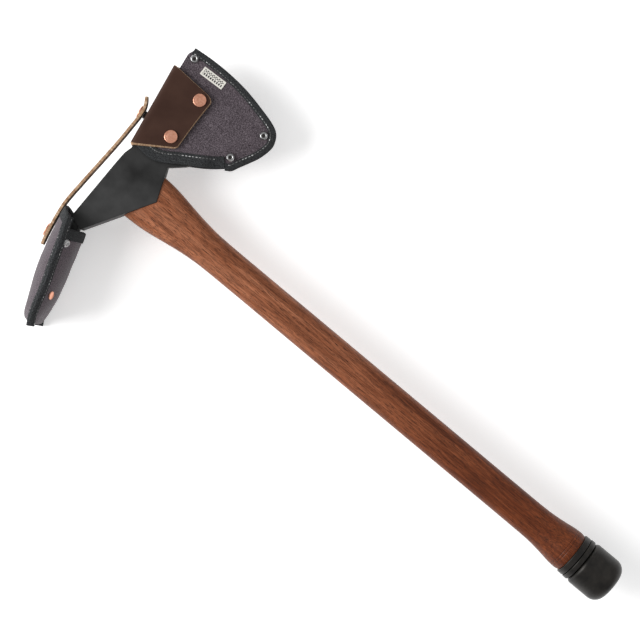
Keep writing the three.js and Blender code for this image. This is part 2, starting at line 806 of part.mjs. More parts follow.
const coverHalfWidth = adzeCoverWidth / 2;
const adzeArc = THREE.MathUtils.degToRad(1) * adzeRadius; // millimetres per degree

const outerBulgeAt = (degrees) => along([
  [outerMouthAngle, outerBulge * 1.16], [8, outerBulge * 1.08], [13, outerBulge * 0.95],
  [20, outerBulge * 0.76], [25, outerBulge * 0.73], [27.6, outerBulge * 0.72],
  [29, outerBulge * 0.5], [adzeFoldAngle, outerBulge * 0.2],
], degrees);
const innerBulgeAt = (degrees) => along([
  [innerMouthAngle, innerBulge * 0.7], [9, innerBulge * 0.82], [12.5, innerBulge * 0.93],
  [17, innerBulge], [20, innerBulge * 0.95], [23.3, innerBulge * 0.77],
  [28, innerBulge * 0.3], [adzeFoldAngle, innerBulge * 0.12],
], degrees);

const bellied = (share) => 1 - Math.abs(share) ** 2.4;

const panelHalfWidth = coverHalfWidth - panelInset;
const adzeSeamHalf = gap + 0.6;

// A point on one face of the adze cover: degrees round the arc, share across its width.
function adzeFace(side, degrees, share, bulgeAt, extra) {
  const offset = adzeSeamHalf + bulgeAt(degrees) * bellied(share) + extra;
  return polar(adzeRadius + side * offset, degrees, share * panelHalfWidth);
}

function adzePanel(side, mouthAngle, endAngle, bulgeAt) {
  const surface = (extra) => (u, degrees) => adzeFace(side, degrees, 2 * u - 1, bulgeAt, extra);
  const rows = [...steps(mouthAngle, 25, 7), 26.6, 27.6, 28.4, 29, endAngle];
  return between(spread(10), rows, surface(0), surface(canvas));
}

// The canvas is one length, folded over the adze's edge.  The outer panel carries the fold.
const foldOverlap = 0.15;

function adzeOuterPanel() {
  const surface = (side, bulgeAt) => (u, v) => {
    const point = adzeFace(side, adzeFoldAngle, 2 * u - 1, bulgeAt, canvas);
    const distance = THREE.MathUtils.lerp(-foldOverlap, canvas, v);
    return point.applyAxisAngle(up, THREE.MathUtils.degToRad(distance / adzeArc));
  };
  const fold = between(
    spread(10), spread(1), surface(-1, innerBulgeAt), surface(1, outerBulgeAt),
  );
  return joined(adzePanel(1, outerMouthAngle, adzeFoldAngle, outerBulgeAt), fold);
}

function adzeInnerPanel() {
  const endAngle = adzeFoldAngle - (foldOverlap + gap) / adzeArc;
  return adzePanel(-1, innerMouthAngle, endAngle, innerBulgeAt);
}

// The binding over one sewn side of the adze cover: 1 for the near side, -1 for the far.
function adzeBinding(edge) {
  const half = adzeSeamHalf + canvas;
  const surface = (side) => (u, degrees) => (
    polar(adzeRadius + side * half, degrees, edge * (coverHalfWidth - u * bindingWidth))
  );
  return between(spread(1), steps(adzeCoverStart, adzeCoverEnd, 18), surface(-1), surface(1));
}

function adzeMouthBand(side, mouthAngle, bulgeAt) {
  const surface = (extra) => (u, v) => {
    const degrees = mouthAngle + mouthBandAngle * v;
    return adzeFace(side, degrees, (2 * u - 1) * 0.97, bulgeAt, canvas + gap + extra);
  };
  return between(spread(10), spread(1), surface(0), surface(bandThickness));
}

const strapTailInner = (degrees) => (
  adzeRadius + adzeSeamHalf + outerBulgeAt(degrees) + canvas + bandThickness + 2 * gap
);

function strapTail() {
  const surface = (extra) => (u, degrees) => (
    polar(strapTailInner(degrees) + extra, degrees, strapWidth * (u - 0.5))
  );
  const rows = steps(outerMouthAngle, strapTailEnd, 8);
  const sheet = between(spread(2), rows, surface(0), surface(strapThickness));
  const inner = polar(strapTailInner(strapCapAngle) - 20, strapCapAngle, 0);
  const outer = polar(strapTailInner(strapCapAngle) + 20, strapCapAngle, 0);
  return cut(sheet, rodBetween(inner, outer, studDiameter + 4 * gap, 16));
}

// A rivet that grips one panel of the adze cover, standing off its outside face.
function panelRivet(name, material, side, degrees, share, bulgeAt) {
  const slope = 2.4 * bulgeAt(degrees) * Math.abs(share) ** 1.4 * Math.sign(share);
  const normal = polar(side, degrees, slope / panelHalfWidth).normalize();
  const head = rivetHead / 2;
  const shape = turned([
    [0, 0], [head, 0], [head, 0.6], [head * 0.6, 1.5], [0, 1.7],
  ], 16);
  const point = adzeFace(side, degrees, share, bulgeAt, canvas + gap).addScaledVector(normal, gap);
  return standing(name, shape, material, point, normal);
}

function adzeCoverBody() {
  const group = new THREE.Group();
  group.position.copy(drawCentre);
  const capOutward = polar(1, strapCapAngle, 0);
  const capPoint = polar(strapTailInner(strapCapAngle) + strapThickness + gap, strapCapAngle, 0);
  group.add(
    named('adze_outer_panel', adzeOuterPanel(), greyCanvas),
    named('adze_inner_panel', adzeInnerPanel(), greyCanvas),
    named('adze_binding_near', adzeBinding(1), blackWebbing),
    named('adze_binding_far', adzeBinding(-1), blackWebbing),
    named('adze_mouth_band_outer', adzeMouthBand(1, outerMouthAngle, outerBulgeAt), blackWebbing),
    named('adze_mouth_band_inner', adzeMouthBand(-1, innerMouthAngle, innerBulgeAt), blackWebbing),
    panelRivet('adze_rivet_near', brightSteel, -1, 11.5, 0.74, innerBulgeAt),
    panelRivet('adze_rivet_far', brightSteel, -1, 11.5, -0.74, innerBulgeAt),
    panelRivet('adze_copper_rivet_near', copper, -1, 22.6, 0.56, innerBulgeAt),
    panelRivet('adze_copper_rivet_far', copper, -1, 22.6, -0.56, innerBulgeAt),
    named('strap_tail', strapTail(), brownLeather),
    standing('strap_tail_cap', capShape(strapThickness), copper, capPoint, capOutward),
  );
  return group;
}

// --------------------------------------------------------------------------- strap

function strapLine() {
  const bend = polar(strapTailInner(outerMouthAngle) + strapThickness / 2, outerMouthAngle, 0);
  bend.add(drawCentre);
  const snap = foldPoint(strapStudAlong).addScaledVector(foldInward, -strapStandOff - strapThickness / 2);
  return smoothCurve([
    flat(bend.x, bend.y + 0.6), flat(-13.4, -30), flat(-12.6, 0), flat(-11.7, 28),
    snap.clone().addScaledVector(foldDirection, -12).add(flat(0.4, 0)), snap,
    snap.clone().addScaledVector(foldDirection, 8).add(flat(-0.6, 0)), flat(-18.8, 73.2),
  ]);
}

function strapBody() {
  const group = new THREE.Group();
  const line = strapLine();
  const surface = (side) => (u, v) => {
    const point = line.at(v).addScaledVector(line.leftOf(v), side * strapThickness / 2);
    return lift(point, strapWidth * (u - 0.5));
  };
  const sheet = between(spread(1), spread(26), surface(-1), surface(1));
  const stand = lift(foldPoint(strapStudAlong), 0);
  const outward = (distance) => stand.clone().addScaledVector(foldOutward, distance);
  const hole = rodBetween(outward(0), outward(strapStandOff + 20), studDiameter + 4 * gap, 16);
  const ringThickness = 1.2;
  const ring = standing(
    'strap_socket', openRing(ringThickness), brightSteel,
    outward(strapStandOff - 3 * gap - ringThickness), foldOutward,
  );
  group.add(
    named('strap', cut(sheet, hole), brownLeather),
    standing(
      'strap_cap', capShape(strapThickness), copper,
      outward(strapStandOff + strapThickness + 2 * gap), foldOutward,
    ),
    ring,
  );
  return group;
}

// The strap's snap ring is open towards the strap's free end, so it also slides off.
function openRing(thickness) {
  const slot = new THREE.BoxGeometry(socketBore, 4 * thickness, socketDiameter);
  const intoRing = turnTo(foldOutward).invert();
  const way = lift(foldDirection, 0).applyQuaternion(intoRing);
  slot.applyQuaternion(new THREE.Quaternion().setFromUnitVectors(new THREE.Vector3(0, 0, 1), way));
  slot.translate(...way.clone().multiplyScalar(socketDiameter / 2).toArray());
  return cut(flatRing(socketDiameter, socketBore, thickness), slot);
}

// ---------------------------------------------------------------------------- part

const axe = new THREE.Group();
axe.add(axeBody(), axeCoverBody(), flapBody(), adzeCoverBody(), strapBody());

export default axe;
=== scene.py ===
# The looks of a small forestry axe with an adze poll, in its two travelling covers.
#
# Lengths are millimetres in the part's own frame: +X runs to the pommel, +Y to the axe
# bit, -Y to the adze and +Z is up.  Meshes turn them into metres as they are made.

from bisect import bisect_right
from math import copysign, cos, pi, radians, sin, sqrt

import bmesh
import bpy
from mathutils import Matrix, Vector, noise


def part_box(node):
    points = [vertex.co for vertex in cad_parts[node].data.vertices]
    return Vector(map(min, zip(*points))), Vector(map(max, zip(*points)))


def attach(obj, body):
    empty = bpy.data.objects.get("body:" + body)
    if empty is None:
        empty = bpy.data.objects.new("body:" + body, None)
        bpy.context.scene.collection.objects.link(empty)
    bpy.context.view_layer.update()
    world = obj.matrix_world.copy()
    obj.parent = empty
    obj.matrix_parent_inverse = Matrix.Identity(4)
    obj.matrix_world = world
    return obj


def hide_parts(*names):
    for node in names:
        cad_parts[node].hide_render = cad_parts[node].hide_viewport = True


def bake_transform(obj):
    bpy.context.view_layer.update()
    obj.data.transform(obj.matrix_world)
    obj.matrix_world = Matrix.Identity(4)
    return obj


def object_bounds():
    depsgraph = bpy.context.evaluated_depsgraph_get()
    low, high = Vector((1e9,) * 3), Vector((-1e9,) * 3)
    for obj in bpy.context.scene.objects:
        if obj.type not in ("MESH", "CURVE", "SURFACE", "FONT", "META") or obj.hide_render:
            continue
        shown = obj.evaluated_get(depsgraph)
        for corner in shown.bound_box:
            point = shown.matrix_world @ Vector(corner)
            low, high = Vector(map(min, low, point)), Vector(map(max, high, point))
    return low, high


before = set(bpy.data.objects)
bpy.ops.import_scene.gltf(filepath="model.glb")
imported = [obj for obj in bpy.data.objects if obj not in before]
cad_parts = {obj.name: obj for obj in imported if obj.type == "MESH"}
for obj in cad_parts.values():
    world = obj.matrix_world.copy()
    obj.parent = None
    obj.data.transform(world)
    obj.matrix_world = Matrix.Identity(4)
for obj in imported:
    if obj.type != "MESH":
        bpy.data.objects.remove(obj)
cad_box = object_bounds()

MM = 0.001
UP = Vector((0, 0, 1))
ALONG_HANDLE = Vector((1, 0, 0))

# ---- dimensions

# Head
HEAD_HALF = 16.0
HEAD_BEVEL = 1.1
ADZE_NECK = Vector((14.6, -62))
CHEEK_TIP = Vector((52.6, 3))
THROAT = Vector((39.4, 34.9))
BIT_UNDERSIDE = [
    THROAT, (43.6, 38.6), (48, 42.7), (52.5, 47), (57, 54), (60.5, 68), (63.5, 88), (66, 110),
]
BIT_LENGTH = 86.0
BIT_LEAD = 1.5
BIT_ROOT_HALF = 8.1
BIT_SHOULDER_HALF = 2.6
EDGE_BOW = 9.5
EYE_HALF_LENGTH = 21.5
EYE_HALF_WIDTH = 9.0
GAP = 0.3

# Handle and pommel
HANDLE_END = 561.0
HALF_WIDTHS = [
    (20, 26.5), (50, 25.6), (64, 24.2), (80, 21.6), (99, 18.7), (118, 17), (150, 16.6), (250, 16.6),
    (400, 16.6), (501, 16.6), (521, 16.9), (536, 18.3), (549, 20.1), (557, 20.5), (561, 19.6),
]
HALF_DEPTHS = [
    (20, 15), (50, 14.9), (80, 14.3), (118, 13.7), (250, 13.7), (400, 13.8), (501, 14.1), (521, 14.8),
    (541, 18.2), (549, 19.9), (557, 20.5), (561, 19.6),
]
GROOVES = (HANDLE_END - 9.2, HANDLE_END - 6.4)
POMMEL_RADIUS = 22.5

# Axe cover
FOLD_FOOT = Vector((-1.6, 28, 0))
FOLD_HEAD = Vector((-18, 113, 0))
FOLD_AHEAD = (FOLD_HEAD - FOLD_FOOT).normalized()
FOLD_INWARD = Vector((FOLD_AHEAD.y, -FOLD_AHEAD.x, 0))
FLAP_TOP = Vector((31, 110.6, 0))
FLAP_BOTTOM = Vector((35, 53.2, 0))
LEATHER = 2.2
CANVAS = 1.4
TAPE = 0.9
SEAM_HALF = 1.8
BINDING_WIDTH = 7.0
BAND_WIDTH = 10.5
BIT_CLEARANCE = 1.2
UNDERSIDE_AT_FOOT = 14.3
UNDERSIDE_AT_HEAD = 7.6
UNDERSIDE_SLOPE = (UNDERSIDE_AT_HEAD - UNDERSIDE_AT_FOOT) / (FOLD_HEAD.y - FOLD_FOOT.y)
FLAP_NORMAL = Vector((0, -UNDERSIDE_SLOPE, 1)).normalized()
SEAM = [
    (-12.8, 137.5), (6, 139.2), (28, 139.4), (50, 137.6), (72, 133.2), (88, 129), (96.5, 124.2),
    (101, 117), (102.2, 109.5), (99.5, 97), (94.7, 86.3), (90, 77), (86.8, 70.4), (81.5, 66.6),
]
HEEL_ALONG_SEAM = 0.605
STITCH_PITCH = 3.3

# Adze, its cover and the strap
DRAW_CENTRE = Vector((250, -35, 0))
ADZE_RADIUS = 245.0
ADZE_EDGE_ANGLE = 27.5
FOLD_ANGLE = 29.5
SEWN_END = FOLD_ANGLE - 1.4
BINDING_START, BINDING_END = 5.2, 30.4
COVER_HALF_WIDTH = 40.0
OUTER_MOUTH, INNER_MOUTH = 4.1, 6.9
OUTER_BULGE = [
    (4.1, 13.9), (8, 13.1), (13, 12.1), (20, 10.5), (25, 10), (27.4, 10), (28.8, 8), (29.5, 3.6),
]
INNER_BULGE = [
    (6.9, 9.8), (9, 11.5), (12.5, 13), (17, 14), (20, 13.6), (23.3, 11.8), (26, 8.8), (28, 5.4),
    (29.5, 2.2),
]
SEAM_LEAN = [
    (4.1, 6), (5.5, 5.4), (8.5, 2.2), (11.3, -0.4), (16.6, -2.6), (21, -3.2), (25.5, -0.8), (30, 1.6),
]
STRAP_THICKNESS = 2.6
STRAP_HALF_WIDTH = 8.5
STRAP_TAIL_END = 13.4
STRAP_CAP_ANGLE = 10.3
STRAP_STAND_OFF = 3.4
STRAP_STUD_ALONG = 32.0

# ---- shape helpers


def spread(count):
    return [index / count for index in range(count + 1)]


def lerp(start, end, share):
    return start + (end - start) * share


def steps(start, end, count):
    return [lerp(start, end, share) for share in spread(count)]


def ease(value, start, end):
    share = min(max((value - start) / (end - start), 0.0), 1.0)
    return share * share * (3 - 2 * share)


def hermite(start, end, enter, leave, share):
    cubic = 2 * (start - end) + enter + leave
    square = 3 * (end - start) - 2 * enter - leave
    return start + enter * share + square * share**2 + cubic * share**3


def smooth_along(pairs, place):
    """A smooth value through (place, value) pairs, held level past their ends."""
    if place <= pairs[0][0]:
        return pairs[0][1]
    if place >= pairs[-1][0]:
        return pairs[-1][1]
    index = bisect_right([pair[0] for pair in pairs], place) - 1

    def slope(at):
        before, after = pairs[max(at - 1, 0)], pairs[min(at + 1, len(pairs) - 1)]
        return (after[1] - before[1]) / (after[0] - before[0])

    (start, low), (end, high) = pairs[index], pairs[index + 1]
    span = end - start
    return hermite(low, high, slope(index) * span, slope(index + 1) * span, (place - start) / span)


def runs(points):
    """How far each point of a line lies from its first one, along the line."""
    run = 0.0
    reached = []
    for before, after in zip(points[:1] + points[:-1], points):
        run += (after - before).length
        reached.append(run)
    return reached


class Curve:
    """A smooth curve through points, read by its share of length."""

    def __init__(self, points, samples=400):
        self.knots = [Vector(point).to_3d() for point in points]
        self.fine = [self.among_knots(share) for share in spread(samples)]
        self.reach = runs(self.fine)
        self.length = self.reach[-1]

    def among_knots(self, share):
        last = len(self.knots) - 1
        index = min(int(share * last), last - 1)
        a, b = self.knots[max(index - 1, 0)], self.knots[index]
        c, d = self.knots[index + 1], self.knots[min(index + 2, last)]
        return hermite(b, c, (c - a) / 2, (d - b) / 2, share * last - index)

    def at(self, share):
        reach = min(max(share, 0.0), 1.0) * self.length
        index = min(max(bisect_right(self.reach, reach) - 1, 0), len(self.fine) - 2)
        step = self.reach[index + 1] - self.reach[index]
        return self.fine[index].lerp(self.fine[index + 1], (reach - self.reach[index]) / step)

    def ahead(self, share):
        nudge = 0.004
        start, end = max(share - nudge, 0.0), min(share + nudge, 1.0)
        return (self.at(end) - self.at(start)).normalized()

    def beside(self, share, distance):
        """A place to the left of the curve, or with a negative distance to its right."""
        ahead = self.ahead(share)
        return self.at(share) + Vector((-ahead.y, ahead.x, 0)) * distance


def grid(rows, columns, point):
    return [[point(column, row) for column in columns] for row in rows]


def grid_normals(rows):
    last_row, last_column = len(rows) - 1, len(rows[0]) - 1

    def normal(row, column):
        across = rows[row][min(column + 1, last_column)] - rows[row][max(column - 1, 0)]
        along = rows[min(row + 1, last_row)][column] - rows[max(row - 1, 0)][column]
        return across.cross(along).normalized()

    return [[normal(row, column) for column in range(last_column + 1)] for row in range(last_row + 1)]


def layered(lower, upper):
    """Points and faces of a closed solid between two grids, and where its rim's faces start."""
    rows, columns = len(lower), len(lower[0])
    points = [point for layer in (lower, upper) for row in layer for point in row]

    def at(level, row, column):
        return (level * rows + row) * columns + column

    faces = []
    for row in range(rows - 1):
        for column in range(columns - 1):
            for level in (0, 1):
                near = [at(level, row, column), at(level, row, column + 1)]
                far = [at(level, row + 1, column + 1), at(level, row + 1, column)]
                faces.append(near + far)
    rim_start = len(faces)
    border = [(0, column) for column in range(columns)]
    border += [(row, columns - 1) for row in range(1, rows)]
    border += [(rows - 1, column) for column in range(columns - 2, -1, -1)]
    border += [(row, 0) for row in range(rows - 2, 0, -1)]
    for here, after in zip(border, border[1:] + border[:1]):
        faces.append([at(0, *here), at(0, *after), at(1, *after), at(1, *here)])
    return points, faces, rim_start


def offset_grid(middle, distance):
    normals = grid_normals(middle)
    return [[p + n * distance for p, n in zip(*pair)] for pair in zip(middle, normals)]


def sheet_solid(middle, thickness, other_middle=None):
    """A sheet about a grid. A second grid, drawn in at its border, gives the sheet a slanted rim."""
    lower = offset_grid(middle, thickness / 2)
    return layered(lower, offset_grid(other_middle or middle, -thickness / 2))


def lofted(rings, closed_ends=True):
    """A solid through rings that all have the same number of points."""
    count = len(rings[0])
    points = [point for ring in rings for point in ring]
    faces = []
    for ring in range(len(rings) - 1):
        for step in range(count):
            after = (step + 1) % count
            here, there = ring * count, (ring + 1) * count
            faces.append([here + step, here + after, there + after, there + step])
    if closed_ends:
        faces.append(list(range(count)))
        faces.append([(len(rings) - 1) * count + step for step in range(count)])
    return points, faces


def round_about(sides):
    return [2 * pi * side / sides for side in range(sides)]


def raised(place, height):
    return Vector((place.x, place.y, height))


def turned(profile, place, direction, sides=48):
    """A turned solid from (radius, height) pairs, standing at a place along a direction."""
    turn = UP.rotation_difference(direction).to_matrix()
    angles = round_about(sides)
    rings = [
        [place + turn @ Vector((radius * cos(angle), radius * sin(angle), height)) for angle in angles]
        for radius, height in profile
    ]
    return lofted(rings, closed_ends=profile[0] != profile[-1])


def arc_profile(centre, radius, start, end, steps):
    """Part of a rounded profile, with angles in degrees from straight out."""
    pairs = []
    for share in spread(steps):
        angle = radians(lerp(start, end, share))
        pairs.append((centre[0] + radius * cos(angle), centre[1] + radius * sin(angle)))
    return pairs


def wrinkle(point, size, height):
    return height * noise.noise(point / size)


def bumpy(value, power):
    return copysign(abs(value) ** power, value)


# ---- making pieces


def add_to_scene(name, data):
    thing = bpy.data.objects.new(name, data)
    bpy.context.scene.collection.objects.link(thing)
    return thing


def settle(piece):
    """Gives a piece the mesh that its modifiers make."""
    bpy.context.view_layer.update()
    depsgraph = bpy.context.evaluated_depsgraph_get()
    final = bpy.data.meshes.new_from_object(
        piece.evaluated_get(depsgraph), preserve_all_data_layers=True, depsgraph=depsgraph
    )
    piece.modifiers.clear()
    piece.data = final


def shade_smooth(mesh, sharp):
    mesh.polygons.foreach_set("use_smooth", [True] * len(mesh.polygons))
    mesh.set_sharp_from_angle(angle=radians(sharp))


def mark_cloth(mesh, places):
    """Stores where each vertex lies on its material, in millimetres."""
    attribute = mesh.attributes.new("cloth", "FLOAT_VECTOR", "POINT")
    attribute.data.foreach_set("vector", [value for place in places for value in place])


def raw_piece(name, shape, materials, cloth=None, rim_start=None):
    points, faces = shape
    mesh = bpy.data.meshes.new(name)
    mesh.from_pydata([point * MM for point in points], [], faces)
    for material in materials:
        mesh.materials.append(material)
    if rim_start is not None:
        for index in range(rim_start, len(faces)):
            mesh.polygons[index].material_index = 1
    mark_cloth(mesh, cloth or points)
    solid = bmesh.new()
    solid.from_mesh(mesh)
    bmesh.ops.remove_doubles(solid, verts=solid.verts, dist=1e-7)
    bmesh.ops.recalc_face_normals(solid, faces=solid.faces)
    solid.to_mesh(mesh)
    solid.free()
    return add_to_scene(name, mesh)


def round_edges(piece, width, segments=2, angle=35):
    bevel = piece.modifiers.new("rounded edges", "BEVEL")
    bevel.width = width * MM
    bevel.segments = segments
    bevel.limit_method = "ANGLE"
    bevel.angle_limit = radians(angle)
    settle(piece)


def combine(piece, other, operation):
    boolean = piece.modifiers.new(operation, "BOOLEAN")
    boolean.operation = operation
    boolean.solver = "EXACT"
    boolean.object = other
    settle(piece)
    bpy.data.objects.remove(other)


def finished(piece, body, replaces=(), sharp=35):
    """Ends a piece. A piece over two bodies rides none here."""
    shade_smooth(piece.data, sharp)
    if body:
        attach(piece, body)
    if replaces:
        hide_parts(*replaces)


def cloth_piece(name, middle, thickness, material, body, replaces, places=None, rounding=0.3):
    """A sheet of cloth or tape about a grid."""
    points, faces, _ = sheet_solid(middle, thickness)
    places = [place for row in places for place in row] * 2 if places else None
    piece = raw_piece(name, (points, faces), [material], cloth=places)
    round_edges(piece, rounding, angle=50)
    finished(piece, body, replaces)
    return piece


def lathe_piece(name, profile, place, direction, material, body, replaces=(), sides=48, sharp=50):
    piece = raw_piece(name, turned(profile, place, direction, sides), [material])
    finished(piece, body, replaces, sharp)


def box_centre(node):
    low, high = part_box(node)
    return (low + high) / 2 / MM


# ---- materials


class Finish:
    """A Principled material. Sockets named in the call keep one value all over the surface."""

    def __init__(self, name, slot, **constants):
        self.material = bpy.data.materials.new(name)
        self.material.use_nodes = True
        self.tree = self.material.node_tree
        self.bsdf = self.tree.nodes["Principled BSDF"]
        self.set(**constants)
        cloth = self.add("Attribute", attribute_name="cloth", attribute_type="GEOMETRY")
        self.places = cloth.outputs["Vector"]

    def add(self, kind, inputs=None, **settings):
        node = self.tree.nodes.new("ShaderNode" + kind)
        for setting, value in settings.items():
            setattr(node, setting, value)
        for socket, value in (inputs or {}).items():
            self.feed(node.inputs[socket], value)
        return node

    def set(self, **sockets):
        for socket, value in sockets.items():
            self.feed(self.bsdf.inputs[socket.replace("_", " ")], value)

    def feed(self, socket, value):
        if isinstance(value, bpy.types.NodeSocket):
            self.tree.links.new(value, socket)
        else:
            socket.default_value = value

    def stretched(self, scale):
        """The places on the material, counted in 1/scale millimetres. A scale is one number or three."""
        scale = scale if isinstance(scale, tuple) else (scale, scale, scale)
        return self.add("VectorMath", {0: self.places, 1: scale}, operation="MULTIPLY").outputs[0]

    def noise(self, scale, detail=2.0, roughness=0.5, distortion=0.0):
        return self.add("TexNoise", {
            "Vector": self.stretched(scale), "Scale": 1.0, "Detail": detail, "Roughness": roughness,
            "Distortion": distortion,
        }).outputs["Fac"]

    def ramp(self, factor, *stops):
        node = self.add("ValToRGB", {"Fac": factor})
        elements = node.color_ramp.elements
        while len(elements) < len(stops):
            elements.new(0.5)
        for element, (position, colour) in zip(elements, stops):
            element.position = position
            element.color = (*colour, 1.0) if isinstance(colour, tuple) else (colour, colour, colour, 1.0)
        return node.outputs["Color"]

    def to_range(self, factor, low, high, end="To"):
        """Spreads a factor over low..high, or with "From" spreads its low..high over 0..1."""
        inputs = {"Value": factor, end + " Min": low, end + " Max": high}
        return self.add("MapRange", inputs, clamp=True).outputs["Result"]

    def math(self, operation, first, second=0.0):
        return self.add("Math", {0: first, 1: second}, operation=operation).outputs[0]

    def mix(self, factor, first, second, blend="MIX"):
        node = self.add("Mix", data_type="RGBA", blend_type=blend)
        self.feed(node.inputs["Factor"], factor)
        self.feed(node.inputs[6], first)
        self.feed(node.inputs[7], second)
        return node.outputs[2]

    def bump(self, height, depth, strength):
        inputs = {"Height": height, "Distance": depth * MM, "Strength": strength}
        self.set(Normal=self.add("Bump", inputs).outputs["Normal"])


def grained(name, slot, scale, detail, stops, roughness, bump, **constants):
    """A material whose colour, roughness and relief follow one noise."""
    finish = Finish(name, slot, **constants)
    grain = finish.noise(scale, detail)
    finish.set(Base_Color=finish.ramp(grain, *stops))
    if roughness:
        finish.set(Roughness=finish.to_range(grain, *roughness))
    finish.bump(grain, *bump)
    return finish.material


def forged_steel():
    finish = Finish("forged_black", "black_steel", Specular_IOR_Level=0.2)
    mottle = finish.noise(0.03, 4)
    grit = finish.noise(2.2, 3)
    finish.set(Base_Color=finish.ramp(mottle, (0.35, 0.01), (0.65, 0.036)))
    finish.set(Roughness=finish.to_range(mottle, 0.42, 0.62))
    finish.bump(grit, 0.05, 0.5)
    return finish.material


def stained_wood():
    finish = Finish(
        "stained_wood", "stained_wood", Specular_IOR_Level=0.15, Coat_Weight=0.08, Coat_Roughness=0.25
    )
    bands = finish.noise((0.012, 0.16, 0.16), 3, distortion=0.6)
    streaks = finish.noise((0.05, 1.2, 1.2), 5, roughness=0.7)
    pores = finish.noise((0.14, 2.6, 2.6), 2)
    along = finish.add("SeparateXYZ", {"Vector": finish.places}).outputs[0]
    base = finish.ramp(
        bands,
        (0.25, (0.125, 0.036, 0.013)), (0.45, (0.21, 0.068, 0.029)),
        (0.6, (0.29, 0.105, 0.05)), (0.8, (0.15, 0.044, 0.016)),
    )
    darker = finish.ramp(streaks, (0.36, 0.3), (0.6, 1.2))
    streaked = finish.mix(0.8, base, darker, "MULTIPLY")
    # The handle's colour is lighter at the head end and darker and redder towards the pommel end.
    darker_towards_pommel = finish.ramp(
        finish.to_range(along, 0, 600, "From"),
        (0.34, (1.28, 1.3, 1.32)), (0.6, (0.86, 0.72, 0.6)), (0.82, (0.64, 0.44, 0.28)),
    )
    toned = finish.mix(1.0, streaked, darker_towards_pommel, "MULTIPLY")
    pored = finish.to_range(pores, 0.57, 0.66, "From")
    finish.set(Base_Color=finish.mix(pored, toned, (0.03, 0.008, 0.004, 1)))
    finish.set(Roughness=finish.to_range(streaks, 0.4, 0.56))
    finish.bump(pores, -0.08, 0.35)
    return finish.material


def gunmetal():
    finish = Finish("gunmetal", "gunmetal", Metallic=0.4, Specular_IOR_Level=0.25)
    brushed = finish.noise((1.6, 0.12, 0.12), 3)
    mottle = finish.noise(0.12, 3)
    finish.set(Base_Color=finish.ramp(mottle, (0.35, (0.014, 0.013, 0.012)), (0.7, (0.028, 0.025, 0.022))))
    finish.set(Roughness=finish.to_range(brushed, 0.3, 0.44))
    finish.bump(brushed, 0.02, 0.4)
    return finish.material


def woven(finish, pitch):
    """The height of a plain weave, whose threads cross at a pitch."""
    parts = finish.add("SeparateXYZ", {"Vector": finish.stretched(2 * pi / pitch)})
    along, across = (finish.math("SINE", parts.outputs[axis]) for axis in (0, 1))
    return finish.math("MULTIPLY", along, across)


def heather_canvas():
    finish = Finish(
        "heather_canvas", "grey_canvas", Roughness=0.92, Specular_IOR_Level=0.12, Sheen_Weight=0.3,
        Sheen_Roughness=0.4,
    )
    warp = finish.noise((0.8, 2.0, 1.0), 2)
    weft = finish.noise((2.0, 0.8, 1.0), 2)
    flecks = finish.math("ADD", warp, weft)
    dust = finish.ramp(finish.noise(0.05, 3), (0.35, 0.65), (0.65, 1.1))
    base = finish.ramp(
        finish.math("MULTIPLY", flecks, 0.5),
        (0.36, (0.024, 0.019, 0.022)), (0.5, (0.078, 0.062, 0.072)), (0.64, (0.19, 0.16, 0.178)),
    )
    finish.set(Base_Color=finish.mix(0.25, base, dust, "MULTIPLY"))
    finish.bump(woven(finish, 1.5), 0.16, 0.7)
    return finish.material


def binding_tape():
    finish = Finish("binding_tape", "black_webbing", Roughness=0.85, Specular_IOR_Level=0.1)
    threads = finish.noise(1.3, 2)
    finish.set(Base_Color=finish.ramp(threads, (0.35, (0.012, 0.012, 0.013)), (0.65, (0.055, 0.058, 0.06))))
    finish.bump(woven(finish, 1.1), 0.18, 0.8)
    return finish.material


def leather_face():
    finish = Finish("leather_face", "brown_leather", Specular_IOR_Level=0.12)
    clouds = finish.noise(0.035, 3)
    grain = finish.add("TexVoronoi", {"Vector": finish.stretched(1.3), "Scale": 1.0})
    finish.set(Base_Color=finish.ramp(clouds, (0.3, (0.036, 0.016, 0.011)), (0.7, (0.054, 0.026, 0.018))))
    finish.set(Roughness=finish.to_range(clouds, 0.46, 0.6))
    finish.bump(grain.outputs["Distance"], 0.1, 0.35)
    return finish.material


def leather_fibres(name, dark, middle, light):
    stops = ((0.3, dark), (0.55, middle), (0.75, light))
    return grained(
        name, "brown_leather", (0.5, 0.5, 3.0), 4, stops, None, (0.2, 0.6), Roughness=0.85,
        Specular_IOR_Level=0.15,
    )


def woven_label():
    """Cream weave with a row of dark checks above a row of dark upright bars."""
    finish = Finish("woven_label", "cream_weave", Roughness=0.9)
    along, across, _ = finish.add("SeparateXYZ", {"Vector": finish.places}).outputs

    def inside(value, low, high):
        above = finish.math("GREATER_THAN", value, low)
        return finish.math("MULTIPLY", above, finish.math("LESS_THAN", value, high))

    def stripes(value, pitch, share):
        return finish.math("LESS_THAN", finish.math("FRACT", finish.math("DIVIDE", value, pitch)), share)

    columns, rows = stripes(along, 3.2, 0.5), stripes(across, 2.0, 0.5)
    checks = finish.math("ABSOLUTE", finish.math("SUBTRACT", columns, rows))
    upper = finish.math("MULTIPLY", checks, inside(across, 0.1, 3.1))
    lower = finish.math("MULTIPLY", stripes(along, 2.4, 0.62), inside(across, -2.7, -0.5))
    pattern = finish.math("MAXIMUM", upper, lower)
    dark = finish.math("MULTIPLY", pattern, inside(along, -10.9, 10.9))
    threads = finish.noise(2.4, 2)
    cream = finish.ramp(threads, (0.3, (0.6, 0.58, 0.52)), (0.7, (0.86, 0.84, 0.78)))
    finish.set(Base_Color=finish.mix(dark, cream, (0.035, 0.033, 0.035, 1)))
    finish.bump(woven(finish, 0.9), 0.1, 0.6)
    return finish.material


